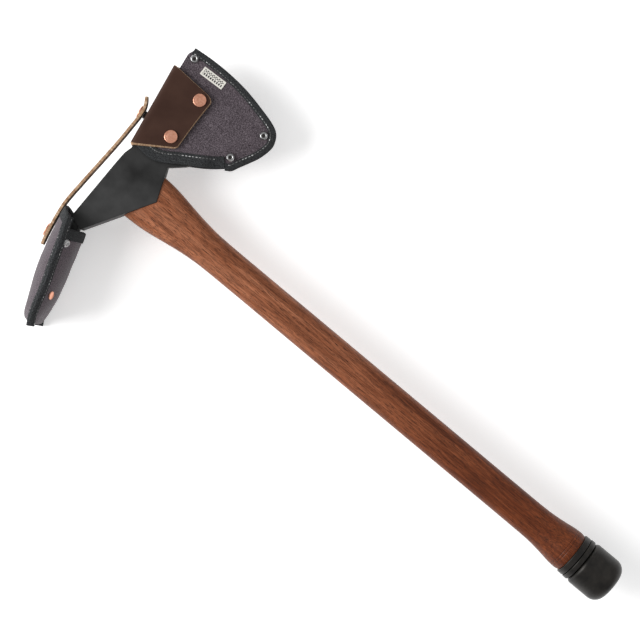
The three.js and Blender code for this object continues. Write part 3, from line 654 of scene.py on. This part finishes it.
def studio_white():
    return Finish(
        "studio_white", None, Roughness=0.9, Specular_IOR_Level=0.0, Emission_Strength=0.34,
        Emission_Color=(1, 1, 1, 1), Base_Color=(0.97, 0.97, 0.97, 1),
    ).material


black_steel = forged_steel()
edge_steel = grained(
    "ground_edge", "bright_steel", (0.05, 3.0, 3.0), 3, ((0.3, 0.32), (0.7, 0.5)),
    (0.22, 0.38), (0.02, 0.5), Metallic=1.0,
)
wood = stained_wood()
wedge_wood = grained(
    "wedge_wood", "wedge_wood", (0.1, 2.0, 2.0), 4,
    ((0.35, (0.34, 0.2, 0.1)), (0.65, (0.56, 0.37, 0.21))), (0.5, 0.7), (0.1, 0.5),
)
pommel_metal = gunmetal()
steel = grained(
    "bright_steel", "bright_steel", 0.9, 3, ((0.3, 0.3), (0.7, 0.5)),
    (0.2, 0.36), (0.03, 0.4), Metallic=1.0,
)
copper = grained(
    "copper", "copper", 0.6, 4, ((0.3, (0.7, 0.31, 0.2)), (0.7, (0.84, 0.44, 0.31))),
    (0.28, 0.42), (0.05, 0.5), Metallic=1.0,
)
canvas_cloth = heather_canvas()
webbing = binding_tape()
thread = grained(
    "sewing_thread", "cream_weave", 0.17, 2, ((0.48, 0.09), (0.62, 0.5)),
    None, (0.1, 0.5), Roughness=0.7,
)
leather = leather_face()
cut_edge = leather_fibres("leather_edge", (0.22, 0.12, 0.065), (0.4, 0.26, 0.16), (0.62, 0.47, 0.33))
flesh_side = leather_fibres("leather_flesh", (0.1, 0.055, 0.03), (0.22, 0.135, 0.08), (0.34, 0.23, 0.15))
label_weave = woven_label()

# ---- camera and light


def place_camera():
    camera = bpy.data.cameras.new("camera")
    camera.sensor_width = 36
    camera.lens = 131.9
    viewer = add_to_scene("camera", camera)
    viewer.location = (0.240, 0.0165, 2.2)
    viewer.rotation_euler = (0, 0, radians(39.87))
    bpy.context.scene.camera = viewer


def area_light(name, place, target, size, power):
    light = bpy.data.lights.new(name, "AREA")
    light.size = size
    light.energy = power
    holder = add_to_scene(name, light)
    holder.location = place
    holder.rotation_euler = (Vector(target) - Vector(place)).to_track_quat("-Z", "Y").to_euler()


def studio():
    world = bpy.data.worlds.new("studio")
    world.use_nodes = True
    background = world.node_tree.nodes["Background"]
    background.inputs["Color"].default_value = (1, 1, 1, 1)
    background.inputs["Strength"].default_value = 0.5
    bpy.context.scene.world = world
    bpy.context.scene.view_settings.view_transform = "Standard"
    middle = (0.25, 0, 0)
    area_light("key", (-1.0, -0.85, 1.1), middle, 1.2, 36)
    area_light("fill", (0.9, 1.1, 1.5), middle, 2.0, 3)
    floor_height = cad_box[0][2] - 0.0003
    reach = 6.0
    corners = [(-reach, -reach), (reach, -reach), (reach, reach), (-reach, reach)]
    mesh = bpy.data.meshes.new("studio_floor")
    mesh.from_pydata([(x, y, floor_height) for x, y in corners], [], [(0, 1, 2, 3)])
    mesh.materials.append(studio_white())
    add_to_scene("studio_floor", mesh)


# ---- head


def bit_line(y):
    return lerp(BIT_ROOT_HALF, BIT_SHOULDER_HALF, (y - 38) / 70)


def head_half(y):
    """Half the head's thickness: flat cheeks that sweep down into the wedge of the bit."""
    return lerp(HEAD_HALF, bit_line(y), ease(y, 6, 35))


def head_rows():
    """Rows across the head: top edge, bottom edge, bow, and how far they are from the cutting edge."""
    neck_top, cheek_end, far = -58, 0.73, 999
    rows = []
    for share in spread(10):
        bottom = ADZE_NECK.lerp(CHEEK_TIP, share).to_3d()
        rows.append((Vector((0, lerp(neck_top, CHEEK_TIP.y, share), 0)), bottom, 0, far))
    for share in spread(10)[1:]:
        bottom = CHEEK_TIP.lerp(THROAT, cheek_end * share).to_3d()
        rows.append((Vector((max(0, 0.22 * (bottom.y - 20)), bottom.y, 0)), bottom, 0, far))
    underside = Curve(BIT_UNDERSIDE)
    edge_start = FOLD_FOOT + FOLD_INWARD * (LEATHER + 0.8)
    for share in spread(34):
        top = edge_start + FOLD_AHEAD * lerp(-BIT_LEAD, BIT_LENGTH, share)
        rows.append((top, underside.at(share), EDGE_BOW * share**2, (1 - share) * BIT_LENGTH))
    return rows


def head_piece():
    rows = head_rows()
    grind = 9.0

    def layer(side):
        def point(across, row):
            top, bottom, bow, from_edge = rows[row]
            place = top.lerp(bottom, across)
            place.y += 4 * bow * across * (1 - across)
            half = head_half(place.y)
            if from_edge < grind:
                half = min(half, lerp(0.3, bit_line(place.y), from_edge / grind))
            return Vector((place.x, place.y, side * half))

        return grid(range(len(rows)), spread(16), point)

    points, faces, _ = layered(layer(-1), layer(1))
    head = raw_piece("head_forging", (points, faces), [black_steel, edge_steel])
    for polygon in head.data.polygons:
        ground = min(polygon.vertices) % (17 * len(rows)) >= 17 * (len(rows) - 4)
        if ground and abs(polygon.normal.z) > 0.8:
            polygon.material_index = 1
    round_edges(head, HEAD_BEVEL, 3, angle=40)
    combine(head, adze_blade(), "UNION")
    combine(head, eye_cutter(), "DIFFERENCE")
    finished(head, "axe", ["axe_head"], sharp=28)


def polar(radius, degrees, z):
    """A point round the adze's centre, with degrees counted down from the eye."""
    angle = radians(degrees)
    return DRAW_CENTRE + Vector((-radius * cos(angle), -radius * sin(angle), z))


def adze_blade():
    rings = []
    for share in spread(30):
        degrees = lerp(4.4, ADZE_EDGE_ANGLE, share)
        half = max(lerp(6.5, 1.2, min(1, share * 1.5)), 0.3)
        if share > 0.93:
            half = lerp(0.25, 1.2, (1 - share) / 0.07)
        width = lerp(14, 26, ease(share, 0, 0.9))
        chamfer = min(1.1, half * 0.6)
        outline = [
            (-half, chamfer - width), (chamfer - half, -width), (half - chamfer, -width),
            (half, chamfer - width), (half, width - chamfer), (half - chamfer, width),
            (chamfer - half, width), (-half, width - chamfer),
        ]
        rings.append([polar(ADZE_RADIUS + offset, degrees, z) for offset, z in outline])
    return raw_piece("adze_blade", lofted(rings), [black_steel, edge_steel])


def stadium(x, clearance):
    """The eye's outline at a place along the handle."""
    half = EYE_HALF_WIDTH - clearance
    straight = EYE_HALF_LENGTH - EYE_HALF_WIDTH
    ring = []
    for side, start in ((1, -90), (-1, 90)):
        for share in spread(16):
            angle = radians(start + 180 * share)
            ring.append(Vector((x, side * straight + half * cos(angle), half * sin(angle))))
    return ring


def eye_cutter():
    rings = [stadium(x, clearance) for x, clearance in ((-5, -1.0), (-0.01, -1.0), (0.9, 0), (70, 0))]
    return raw_piece("eye_cutter", lofted(rings), [black_steel])


# ---- handle


def handle_ring(x):
    squareness = lerp(2.5, 2.0, ease(x, HANDLE_END - 50, HANDLE_END - 12))
    width, depth = smooth_along(HALF_WIDTHS, x), smooth_along(HALF_DEPTHS, x)
    for groove in GROOVES:
        sink = 0.45 * max(0.0, 1 - abs(x - groove) / 0.7)
        width -= sink
        depth -= sink
    power = 2 / squareness
    return [
        Vector((x, width * bumpy(cos(angle), power), depth * bumpy(sin(angle), power)))
        for angle in round_about(72)
    ]


def handle_piece():
    stations = [*steps(20, 120, 30), *steps(120, 520, 40)[1:], *steps(520, 550, 14)[1:]]
    for groove in GROOVES:
        stations += steps(groove - 0.7, groove + 0.7, 4)
    stations += [557, 558.5, 560, 560.7, HANDLE_END]
    handle = raw_piece("turned_handle", lofted([handle_ring(x) for x in sorted(stations)]), [wood])
    outline = [
        (-20, ADZE_NECK.y - 20), (ADZE_NECK.x + GAP, ADZE_NECK.y - 20), (ADZE_NECK.x + GAP, ADZE_NECK.y),
        (CHEEK_TIP.x + GAP, CHEEK_TIP.y), (THROAT.x + GAP, THROAT.y), (THROAT.x + GAP, THROAT.y + 20),
        (-20, THROAT.y + 20),
    ]
    seat = lofted([[Vector((x, y, z)) for x, y in outline] for z in (-30, 30)])
    combine(handle, raw_piece("head_seat", seat, [wood]), "DIFFERENCE")
    tongue = raw_piece("tongue", lofted([stadium(x, GAP) for x in (0.2, 20, 60)]), [wood])
    round_edges(tongue, 0.3)
    combine(tongue, wedge_room(), "DIFFERENCE")
    combine(handle, tongue, "UNION")
    finished(handle, "axe", ["handle"], sharp=30)


def wedge_room():
    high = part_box("eye_wedge")[1] / MM
    half = high.y + 2
    rings = [
        [Vector((x, y, z)) for y, z in ((-half, -deep), (half, -deep), (half, deep), (-half, deep))]
        for x, deep in ((-1, 2.2), (high.x + 0.3, 0.6))
    ]
    return raw_piece("wedge_room", lofted(rings), [wood])


# ---- pommel


def pommel_pieces():
    bore, rounding = 5.3, 1.1

    def turn_piece(node, profile, sides):
        start = Vector((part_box(node)[0].x / MM, 0, 0))
        lathe_piece(node + "_turned", profile, start, ALONG_HANDLE, pommel_metal, "axe", [node], sides, 40)

    def length_of(node):
        low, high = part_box(node)
        return (high.x - low.x) / MM

    for node, inset in (("pommel_washer", 1.1), ("pommel_collar", 0.7)):
        length, centre = length_of(node), POMMEL_RADIUS - inset - rounding
        profile = [(bore, 0)]
        profile += arc_profile((centre, rounding), rounding, -90, 0, 6)
        profile += arc_profile((centre, length - rounding), rounding, 0, 90, 6)
        turn_piece(node, profile + [(bore, length), (bore, 0)], 96)
    length = length_of("pommel_cap")
    shoulder, nose = 4.6, 11.5
    profile = [(0, 0), (POMMEL_RADIUS - shoulder - 1.5, 0)]
    profile += arc_profile((POMMEL_RADIUS - shoulder, shoulder), shoulder, -90, 0, 12)
    profile += arc_profile((POMMEL_RADIUS - nose, length - nose), nose, 0, 84, 20)
    turn_piece("pommel_cap", profile + [(6, length), (0, length)], 120)


# ---- axe cover

seam = Curve(SEAM)
seam_samples = [seam.at(share) for share in spread(160)]
PANEL_INSET = 6.3
BEARD_INSET = 2.6
REACH_UNDER_BINDING = 2.2
SEAM_RUN_IN = 16.0


def seam_inset(share, inset):
    return seam.beside(share, -inset)


panel_foot = FOLD_FOOT + FOLD_INWARD * 5.6 + Vector((0, 3, 0))
mouth = Curve([
    panel_foot, (10, 31.8), (17, 31.2), (25, 32.3), (34, 36.5), (43, 42.8), (52.5, 48.8), (64, 56.2),
    (72, 61.8), seam_inset(1, BEARD_INSET),
])


def panel_point(u, v):
    """A place on the cover's face: u from the fold to the heel, v from the mouth to the seam."""
    inset = REACH_UNDER_BINDING
    bottom = mouth.at(u)
    top = seam_inset(u * HEEL_ALONG_SEAM, inset)
    toe, heel = seam_inset(0, inset), seam_inset(HEEL_ALONG_SEAM, inset)
    foot, beard = mouth.at(0), mouth.at(1)
    left = foot.lerp(toe, v) - Vector((3.0 * ease(v, 0.2, 0.8) * (1 - ease(v, 0.93, 1.0)), 0, 0))
    right = seam_inset(1 - v * (1 - HEEL_ALONG_SEAM), lerp(BEARD_INSET, inset, ease(v, 0, 0.15)))
    near, far = foot.lerp(beard, u), toe.lerp(heel, u)
    return bottom.lerp(top, v) + left.lerp(right, u) - near.lerp(far, v)


def distance_to_seam(point):
    flat = raised(point, 0)
    return min((sample - flat).length for sample in seam_samples)


def half_space(point):
    """Half the room between the front and back canvas."""
    room = max(head_half(point.y) + BIT_CLEARANCE, SEAM_HALF)
    return lerp(SEAM_HALF, room, ease(distance_to_seam(point) - PANEL_INSET, 0, SEAM_RUN_IN))


def canvas_middle(point, side):
    free = ease(distance_to_seam(point), 6, 20) * ease((point - mouth.at(0.5)).length, 6, 20)
    height = half_space(point) + CANVAS / 2 + free * wrinkle(point + Vector((0, 0, side)), 13.0, 0.45)
    return raised(point, side * height)


def cover_panel(face, side):
    middle = grid(spread(56), spread(64), lambda u, v: canvas_middle(panel_point(u, v), side))
    node = f"cover_{face}_panel"
    panel = cloth_piece(face + "_canvas", middle, CANVAS, canvas_cloth, "axe_cover", [node])


def tape_over_edge(name, rows, along, section, body, node):
    """Tape folded over an edge: a section of places, carried along the edge."""
    middle = grid(rows, along, section)
    places = [[(run, index, 0) for run in runs(row)] for index, row in enumerate(middle)]
    cloth_piece(name, middle, TAPE, webbing, body, [node], places)


def edge_binding():
    face = SEAM_HALF + CANVAS + TAPE / 2
    rows = [
        (BINDING_WIDTH, face + 0.3), (5.2, face + 0.15), (3.4, face + 0.05), (2, face), (1, face - 0.5),
        (0.5, face - 1.5), (0.4, 0.0),
    ]
    rows += [(inset, -height) for inset, height in reversed(rows[:-1])]

    def section(share, row):
        inset, height = row
        place = seam_inset(share, inset)
        pucker = wrinkle(place + Vector((0, 0, height)), 5.0, 0.2)
        return raised(place, height + copysign(pucker, height))

    tape_over_edge("edge_binding_tape", rows, spread(220), section, "axe_cover", "cover_edge_binding")


BAND_SECTION = [
    (3.2, -1.25), (1.4, -1.25), (0.3, -1.2), (-0.35, -0.7), (-0.5, 0), (-0.35, 0.75), (0.3, 1.25),
    (1.6, 1.35), (3.4, 1.4), (5.4, 1.4), (7.4, 1.4), (9.2, 1.4), (BAND_WIDTH, 1.35),
]


def mouth_band(face, side):
    def section(share, row):
        inset, height = row
        place = mouth.beside(share, inset)
        middle = half_space(place) + CANVAS / 2 + height
        return raised(place, side * (middle + wrinkle(place, 6.0, 0.15)))

    node = "cover_mouth_band_" + face
    tape_over_edge(face + "_mouth_tape", BAND_SECTION, spread(96), section, "axe_cover", node)


def stitch(place, ahead, outward):
    """One stitch: a short rounded thread, half sunk in what it sews."""
    length, radius = 1.15, 0.48
    across = ahead.cross(outward).normalized()
    around = [across * cos(angle) + outward * sin(angle) for angle in round_about(6)]
    return lofted([
        [place + ahead * (length * lengthwise) + spoke * (radius * share) for spoke in around]
        for lengthwise, share in ((-1, 0.05), (-0.8, 0.6), (-0.3, 1), (0.3, 1), (0.8, 0.6), (1, 0.05))
    ])


def stitching(name, stitches, body):
    points, faces = [], []
    for shape_points, shape_faces in stitches:
        start = len(points)
        points += shape_points
        faces += [[start + index for index in face] for face in shape_faces]
    finished(raw_piece(name, (points, faces), [thread]), body, sharp=60)


def stitch_row(line, length, outward, start=0.0, end=1.0):
    """Stitches along a line, given as a function of the share of its length."""
    count = int(length * (end - start) / STITCH_PITCH)
    row = []
    for index in range(count):
        share = lerp(start, end, (index + 0.5) / count)
        ahead = (line(min(share + 0.003, 1)) - line(max(share - 0.003, 0))).normalized()
        row.append(stitch(line(share), ahead, outward(share)))
    return row


def axe_cover_stitching():
    stitches = []
    face = SEAM_HALF + CANVAS + TAPE + 0.12
    for side in (1, -1):
        outward = UP * side

        def on_binding(share):
            return raised(seam_inset(share, 5.4), side * (face + 0.15))

        stitches += stitch_row(on_binding, seam.length, lambda share: outward, 0.01, 0.985)

        def on_band(share):
            place = mouth.beside(share, 7.9)
            return raised(place, side * (half_space(place) + CANVAS / 2 + 1.4 + TAPE / 2 + 0.05))

        stitches += stitch_row(on_band, mouth.length, lambda share: outward, 0.03, 0.9)
    stitching("axe_cover_stitching", stitches, "axe_cover")


def rivet_profile(base):
    """Half a tubular rivet, from its rolled rim's hollow out and down to the shank."""
    head, shank = 4.0, 2.0
    profile = [(0.01, base + 0.35), (1.1, base + 0.4), (1.7, base + 0.9)]
    profile += arc_profile((2.6, base + 0.75), 0.85, 140, 20, 8)
    profile += [(head - 0.25, base + 0.7), (head, base + 0.25), (head - 0.1, base), (shank, base)]
    return profile


def cover_rivet(node):
    centre = box_centre(node)
    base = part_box(node)[1].z / MM - 1.6
    upper = rivet_profile(base)
    lower = [(radius, -height) for radius, height in reversed(upper)]
    place = raised(centre, 0)
    lathe_piece(node + "_tubular", upper + lower, place, UP, steel, "axe_cover", [node])
    # A dark gunmetal disc set down in the rivet's hollow is painted shade: it stands for the shade inside
    # the tube.
    bottom = [(0.01, base + 0.7), (1.9, base + 0.75), (1.9, base + 0.2), (0.01, base + 0.2)]
    lathe_piece(node + "_painted_shade_disc", bottom, place, UP, pommel_metal, "axe_cover", sharp=40)


def cover_label():
    centre = raised(box_centre("cover_label"), 0)
    tilt = Matrix.Rotation(radians(3), 3, "Z")
    length, height = 25.0, 8.4

    def on_label(u, v):
        return Vector((length * (u - 0.5), height * (v - 0.5), 0))

    def point(u, v):
        place = centre + tilt @ on_label(u, v)
        return raised(place, half_space(place) + CANVAS + 0.55)

    rows, columns = spread(12), spread(30)
    cloth_piece(
        "woven_label", grid(rows, columns, point), 0.6, label_weave, "axe_cover", ["cover_label"],
        grid(rows, columns, on_label), rounding=0.12,
    )


# ---- leather


def leather_underside(y):
    return lerp(UNDERSIDE_AT_FOOT, UNDERSIDE_AT_HEAD, (y - FOLD_FOOT.y) / (FOLD_HEAD.y - FOLD_FOOT.y))


def leather_middle(v, reach):
    """A place on the saddle's middle surface, reach millimetres in from the fold, on the front."""
    fold, free = FOLD_FOOT.lerp(FOLD_HEAD, v), FLAP_BOTTOM.lerp(FLAP_TOP, v)
    place = fold + (free - fold).normalized() * reach
    return raised(place, leather_underside(place.y) + LEATHER / 2)


def corner_draw(distance, radius):
    """How far a rounded corner draws in the end of a line that lies this far from the side."""
    inside = min(max(radius - distance, 0.0), radius)
    return radius - sqrt(radius**2 - inside**2)


def leather_saddle():
    fold_length = (FOLD_HEAD - FOLD_FOOT).length
    turn = 4.2
    top_corner, bottom_corner = 6.5, 3.0
    edge_steps = [0, 0.12, 0.45, 1.0, 1.8, 2.8, 4.0, 5.2, top_corner]
    drawn_in = (1.9, 0.7, 0.8)

    def place(column, v, cuts=(0, 0, 0)):
        """A place in a column: near the free side, between it and the fold, round the corner or down
        the spine. Its foot, head and free side are drawn in by the cuts."""
        kind, value, side = column
        foot_cut, head_cut, side_cut = cuts
        v = lerp(foot_cut / fold_length, 1 - head_cut / fold_length, v)
        fold, free = FOLD_FOOT.lerp(FOLD_HEAD, v), FLAP_BOTTOM.lerp(FLAP_TOP, v)
        inwards = (free - fold).normalized()
        width = (free - fold).length - side_cut
        if kind in ("edge", "face"):
            reach = width - value if kind == "edge" else lerp(width - top_corner, turn, value)
            low = corner_draw(width - reach, bottom_corner) / fold_length
            high = 1 - corner_draw(width - reach, top_corner) / fold_length
            point = leather_middle(lerp(low, high, v), reach)
            point.z += wrinkle(point, 22.0, 0.35) * ease(reach, turn, 20)
            return raised(point, side * point.z)
        angle = radians(90 * value)
        centre = leather_middle(v, turn)
        spine = centre - inwards * (turn - LEATHER / 2)
        if kind == "corner":
            flat = centre.lerp(spine, sin(angle))
            return raised(flat, side * (centre.z - turn * (1 - cos(angle))))
        return raised(spine, lerp(centre.z - turn, turn - centre.z, value))

    front = [("edge", step, 1) for step in edge_steps]
    front += [("face", share, 1) for share in spread(12)[1:]]
    corner = [("corner", share, 1) for share in spread(6)[1:]]
    spine = [("spine", share, 1) for share in spread(8)[1:-1]]
    back = [(kind, value, -1) for kind, value, _ in reversed(front + corner)]
    columns = front + corner + spine + back
    rows = spread(56)
    middle = grid(rows, columns, place)
    outer = grid(rows, columns, lambda column, v: place(column, v, drawn_in))
    points, faces, rim_start = sheet_solid(middle, LEATHER, outer)
    places = [(run, v * fold_length, 0) for row, v in zip(middle, rows) for run in runs(row)]
    saddle = raw_piece(
        "leather_saddle_and_flap", (points, faces), [leather, cut_edge], places * 2, rim_start
    )
    round_edges(saddle, 0.2, angle=30)
    finished(saddle, None, ["leather_saddle", "closure_flap"])
    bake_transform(saddle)


def cap_profile(radius, height):
    profile = [(0.01, height), (radius * 0.35, height * 0.985), (radius * 0.6, height * 0.93)]
    profile += [(radius * 0.76, height * 0.84), (radius * 0.8, height * 0.86)]
    profile += arc_profile((radius - 0.75, height * 0.55), 0.75, 75, -10, 8)
    profile += [(radius - 0.1, 0), (radius - 0.6, -0.1), (1.9, -0.1), (1.9, -1.4), (0.01, -1.4)]
    return profile


def copper_cap(node, place, outward, body, radius=6.3, height=2.3, sides=64):
    profile = cap_profile(radius, height)
    lathe_piece(node + "_domed", profile, place, outward, copper, body, [node], sides)


def flap_caps():
    for word in ("upper", "lower"):
        centre = box_centre("flap_cap_" + word)
        front = raised(centre, leather_underside(centre.y) + LEATHER)
        back = raised(centre, -front.z)
        front.z += wrinkle(front, 22.0, 0.35)
        copper_cap(f"flap_cap_{word}", front, FLAP_NORMAL, "closure_flap")
        below = raised(FLAP_NORMAL, -FLAP_NORMAL.z)
        copper_cap(f"saddle_rivet_{word}", back, below, "axe_cover", 4.0, 1.5, 48)


# ---- adze cover

PANEL_HALF_WIDTH = 38.6
SEWN_HALF_WIDTH = 34.6
FULLNESS = 2.4
MOUTH_ARCH = 1.3


def adze_offset(side, degrees, share):
    bulge = smooth_along(OUTER_BULGE if side > 0 else INNER_BULGE, degrees)
    across = min(abs(share) * PANEL_HALF_WIDTH / SEWN_HALF_WIDTH, 1.0) ** FULLNESS
    return 0.9 + bulge * (1 - across) + side * across * smooth_along(SEAM_LEAN, degrees)


def adze_face(side, degrees, share, extra):
    """A place on the adze cover: degrees round the arc, share across the width."""
    z = share * PANEL_HALF_WIDTH
    ripple = wrinkle(Vector((degrees * 4.3, z, 7.0 * side)), 14.0, 0.5) * (1 - share**4)
    offset = adze_offset(side, degrees, share) + extra + ripple
    return polar(ADZE_RADIUS + side * offset, degrees, z)


def mouth_arch(share):
    """How many degrees a mouth falls back from its middle to its corners."""
    return MOUTH_ARCH * share * share


def adze_canvas():
    shares = steps(-1, 1, 48)
    panel_end = FOLD_ANGLE - 0.05
    rows = [(1, degrees, None) for degrees in steps(OUTER_MOUTH, panel_end, 60)]
    rows += [(0, FOLD_ANGLE, angle) for angle in (60, 30, 0, -30, -60)]
    rows += [(-1, degrees, None) for degrees in steps(panel_end, INNER_MOUTH, 54)]

    def point(share, row):
        side, degrees, angle = row
        if side:
            arch = mouth_arch(share) * (1 - ease(degrees, 5, 14))
            return adze_face(side, degrees + arch, share, CANVAS / 2)
        outward = adze_offset(1, degrees, share) + CANVAS / 2
        inward = -adze_offset(-1, degrees, share) - CANVAS / 2
        turn = radians(angle)
        offset = (outward + inward) / 2 + (outward - inward) / 2 * sin(turn)
        past = 0.35 * cos(turn)
        return polar(ADZE_RADIUS + offset, degrees + past, share * PANEL_HALF_WIDTH)

    middle = grid(rows, shares, point)
    centre_line = [row[len(row) // 2] for row in middle]
    places = [[(run, share * PANEL_HALF_WIDTH, 0) for share in shares] for run in runs(centre_line)]
    canvas = cloth_piece(
        "adze_canvas_folded", middle, CANVAS, canvas_cloth, "adze_cover",
        ["adze_outer_panel", "adze_inner_panel"], places,
    )


def adze_binding(word, edge):
    flank = [32.8, 34.2, 35.6, 37.0, 38.2, COVER_HALF_WIDTH - 0.7]
    rows = [(1, z) for z in flank] + [(0, COVER_HALF_WIDTH)]
    rows += [(-1, z) for z in reversed(flank)]

    def section(angle, row):
        side, z = row
        share = min(z / PANEL_HALF_WIDTH, 1.0)
        lift = TAPE / 2 + CANVAS + 0.1
        offset = side * (adze_offset(side or 1, min(angle, SEWN_END), share) + lift)
        if z > PANEL_HALF_WIDTH:
            offset = side * 1.7 + smooth_along(SEAM_LEAN, angle)
        pucker = wrinkle(Vector((angle * 4.3, z, side * 9.0)), 5.0, 0.22)
        return polar(ADZE_RADIUS + offset + side * pucker, angle, edge * z)

    along = steps(BINDING_START, BINDING_END, 110)
    tape_over_edge(word + "_binding_tape", rows, along, section, "adze_cover", "adze_binding_" + word)


def adze_mouth_band(word, side, mouth_angle):
    per_degree = radians(1) * ADZE_RADIUS

    def section(share, row):
        inset, height = row
        edge = mouth_angle + mouth_arch(share)
        degrees = edge + inset * 0.88 / per_degree
        offset = adze_offset(side, max(degrees, edge), share) + CANVAS / 2 + height
        return polar(ADZE_RADIUS + side * offset, degrees, share * PANEL_HALF_WIDTH)

    shares = steps(-0.985, 0.985, 56)
    node = "adze_mouth_band_" + word
    tape_over_edge(word + "_mouth_tape", BAND_SECTION, shares, section, "adze_cover", node)


def adze_stitching():
    sewn = 34.9
    start, end = BINDING_START + 0.2, BINDING_END - 0.2
    length = radians(end - start) * ADZE_RADIUS
    stitches = []
    for edge, side in ((1, 1), (1, -1), (-1, 1), (-1, -1)):

        def on_flank(share):
            angle = lerp(start, end, share)
            offset = adze_offset(side, min(angle, SEWN_END), sewn / PANEL_HALF_WIDTH)
            return polar(ADZE_RADIUS + side * (offset + CANVAS + TAPE + 0.15), angle, edge * sewn)

        def flank_normal(share):
            return (polar(side, lerp(start, end, share), 0) - DRAW_CENTRE + UP * edge).normalized()

        stitches += stitch_row(on_flank, length, flank_normal)
    stitching("adze_cover_stitching", stitches, "adze_cover")


def adze_rivets():
    for kind, degrees, reach, material, profile in (
        ("adze_rivet", 10.7, 31.0, steel, rivet_profile(0) + [(0.01, -1.2)]),
        ("adze_copper_rivet", 22.8, 24.5, copper, cap_profile(4.0, 1.1)),
    ):
        for word, edge in (("near", 1), ("far", -1)):
            share = edge * reach / PANEL_HALF_WIDTH
            place = adze_face(-1, degrees, share, CANVAS)
            nearby = adze_face(-1, degrees, share + 0.01, CANVAS)
            along = polar(1, degrees + 90, 0) - DRAW_CENTRE
            normal = (nearby - place).cross(along).normalized()
            if normal.dot(DRAW_CENTRE - polar(1, degrees, 0)) < 0:
                normal.negate()
            node = f"{kind}_{word}"
            seat = place + normal * 0.05
            lathe_piece(node + "_head", profile, seat, normal, material, "adze_cover", [node])


# ---- strap


def strap_tail_radius(degrees):
    return ADZE_RADIUS + smooth_along(OUTER_BULGE, degrees) + 0.9 + CANVAS + 1.8 + STRAP_THICKNESS / 2


def strap_snap(lift):
    """A place over the snap on the saddle's spine, lifted off the fold."""
    return FOLD_FOOT + FOLD_AHEAD * STRAP_STUD_ALONG - FOLD_INWARD * (STRAP_STAND_OFF + lift)


def strap_line():
    snap = strap_snap(STRAP_THICKNESS / 2)
    tail = [polar(strap_tail_radius(d), d, 0) for d in (STRAP_TAIL_END, 12.6, 11, 9.2, 7.4, 5.6)]
    bend = polar(strap_tail_radius(OUTER_MOUTH), OUTER_MOUTH, 0)
    return Curve([
        *tail, bend, (-13.9, -42), (-13.5, -30), (-12.9, -12), (-12.2, 8), (-11.7, 26), (-11.8, 42), snap,
        snap + FOLD_AHEAD * 8 - Vector((0.6, 0, 0)), (-18.8, 73.2),
    ], samples=900)


def strap_piece():
    line = strap_line()
    corner = 5.5
    ends = [0, 0.15, 0.6, 1.4, 2.5, 4.0]
    run = steps(corner, line.length - corner, 120)
    rows = ends + run + [line.length - end for end in reversed(ends)]
    columns = steps(-1, 1, 16)

    def point(column, row):
        draw = corner_draw(min(row, line.length - row), corner)
        middle = line.beside(row / line.length, wrinkle(Vector((row, 0, 3)), 14.0, 0.12))
        z = column * (STRAP_HALF_WIDTH - draw) + wrinkle(Vector((row, 5, 9)), 9.0, 0.2)
        return Vector((middle.x, middle.y, z))

    middle = grid(rows, columns, point)
    points, faces, rim_start = sheet_solid(middle, STRAP_THICKNESS)
    places = [(row, column * STRAP_HALF_WIDTH, 0) for row in rows for column in columns]
    materials = [leather, cut_edge, flesh_side]
    strap = raw_piece("strap_and_tail", (points, faces), materials, places * 2, rim_start)
    for face in strap.data.polygons:
        if face.material_index == 0 and face.normal.x > 0:
            face.material_index = 2
    round_edges(strap, 0.35, angle=30)
    finished(strap, None, ["strap", "strap_tail"])
    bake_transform(strap)


def strap_caps():
    copper_cap("strap_cap", strap_snap(STRAP_THICKNESS + 0.1), -FOLD_INWARD, "strap")
    radius = strap_tail_radius(STRAP_CAP_ANGLE) + STRAP_THICKNESS / 2 + 0.1
    outward = (polar(1, STRAP_CAP_ANGLE, 0) - DRAW_CENTRE).normalized()
    copper_cap("strap_tail_cap", polar(radius, STRAP_CAP_ANGLE, 0), outward, "adze_cover")


# ---- CAD pieces kept


def dress(node, material, bevel=0.0):
    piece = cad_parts[node]
    mark_cloth(piece.data, [vertex.co / MM for vertex in piece.data.vertices])
    piece.data.materials.clear()
    piece.data.materials.append(material)
    shade_smooth(piece.data, 40)
    if bevel:
        modifier = piece.modifiers.new("rounded edges", "BEVEL")
        modifier.width = bevel * MM
        modifier.segments = 2
        modifier.limit_method = "ANGLE"


def kept_pieces():
    dress("eye_wedge", wedge_wood, 0.15)
    dress("cover_welt", webbing, 0.3)
    for node in ("cross_wedge_adze_side", "cross_wedge_bit_side", "pommel_rod"):
        dress(node, steel, 0.15)
    for node in ("flap_stud_upper", "flap_stud_lower"):
        dress(node, steel)
    # The strap's stud and socket are bright steel; dressing them in dark gunmetal is painted shade, for the
    # shadow they sit in between the strap and the saddle.
    for node in ("strap_stud", "strap_socket"):
        dress(node, pommel_metal)


# ---- build

place_camera()
studio()
kept_pieces()
head_piece()
handle_piece()
pommel_pieces()
for face, side in (("front", 1), ("back", -1)):
    cover_panel(face, side)
edge_binding()
for face, side in (("front", 1), ("back", -1)):
    mouth_band(face, side)
axe_cover_stitching()
for corner in ("toe", "heel", "beard"):
    cover_rivet("cover_rivet_" + corner)
cover_label()
leather_saddle()
flap_caps()
adze_canvas()
adze_binding("near", 1)
adze_binding("far", -1)
adze_mouth_band("outer", 1, OUTER_MOUTH)
adze_mouth_band("inner", -1, INNER_MOUTH)
adze_stitching()
adze_rivets()
strap_piece()
strap_caps()
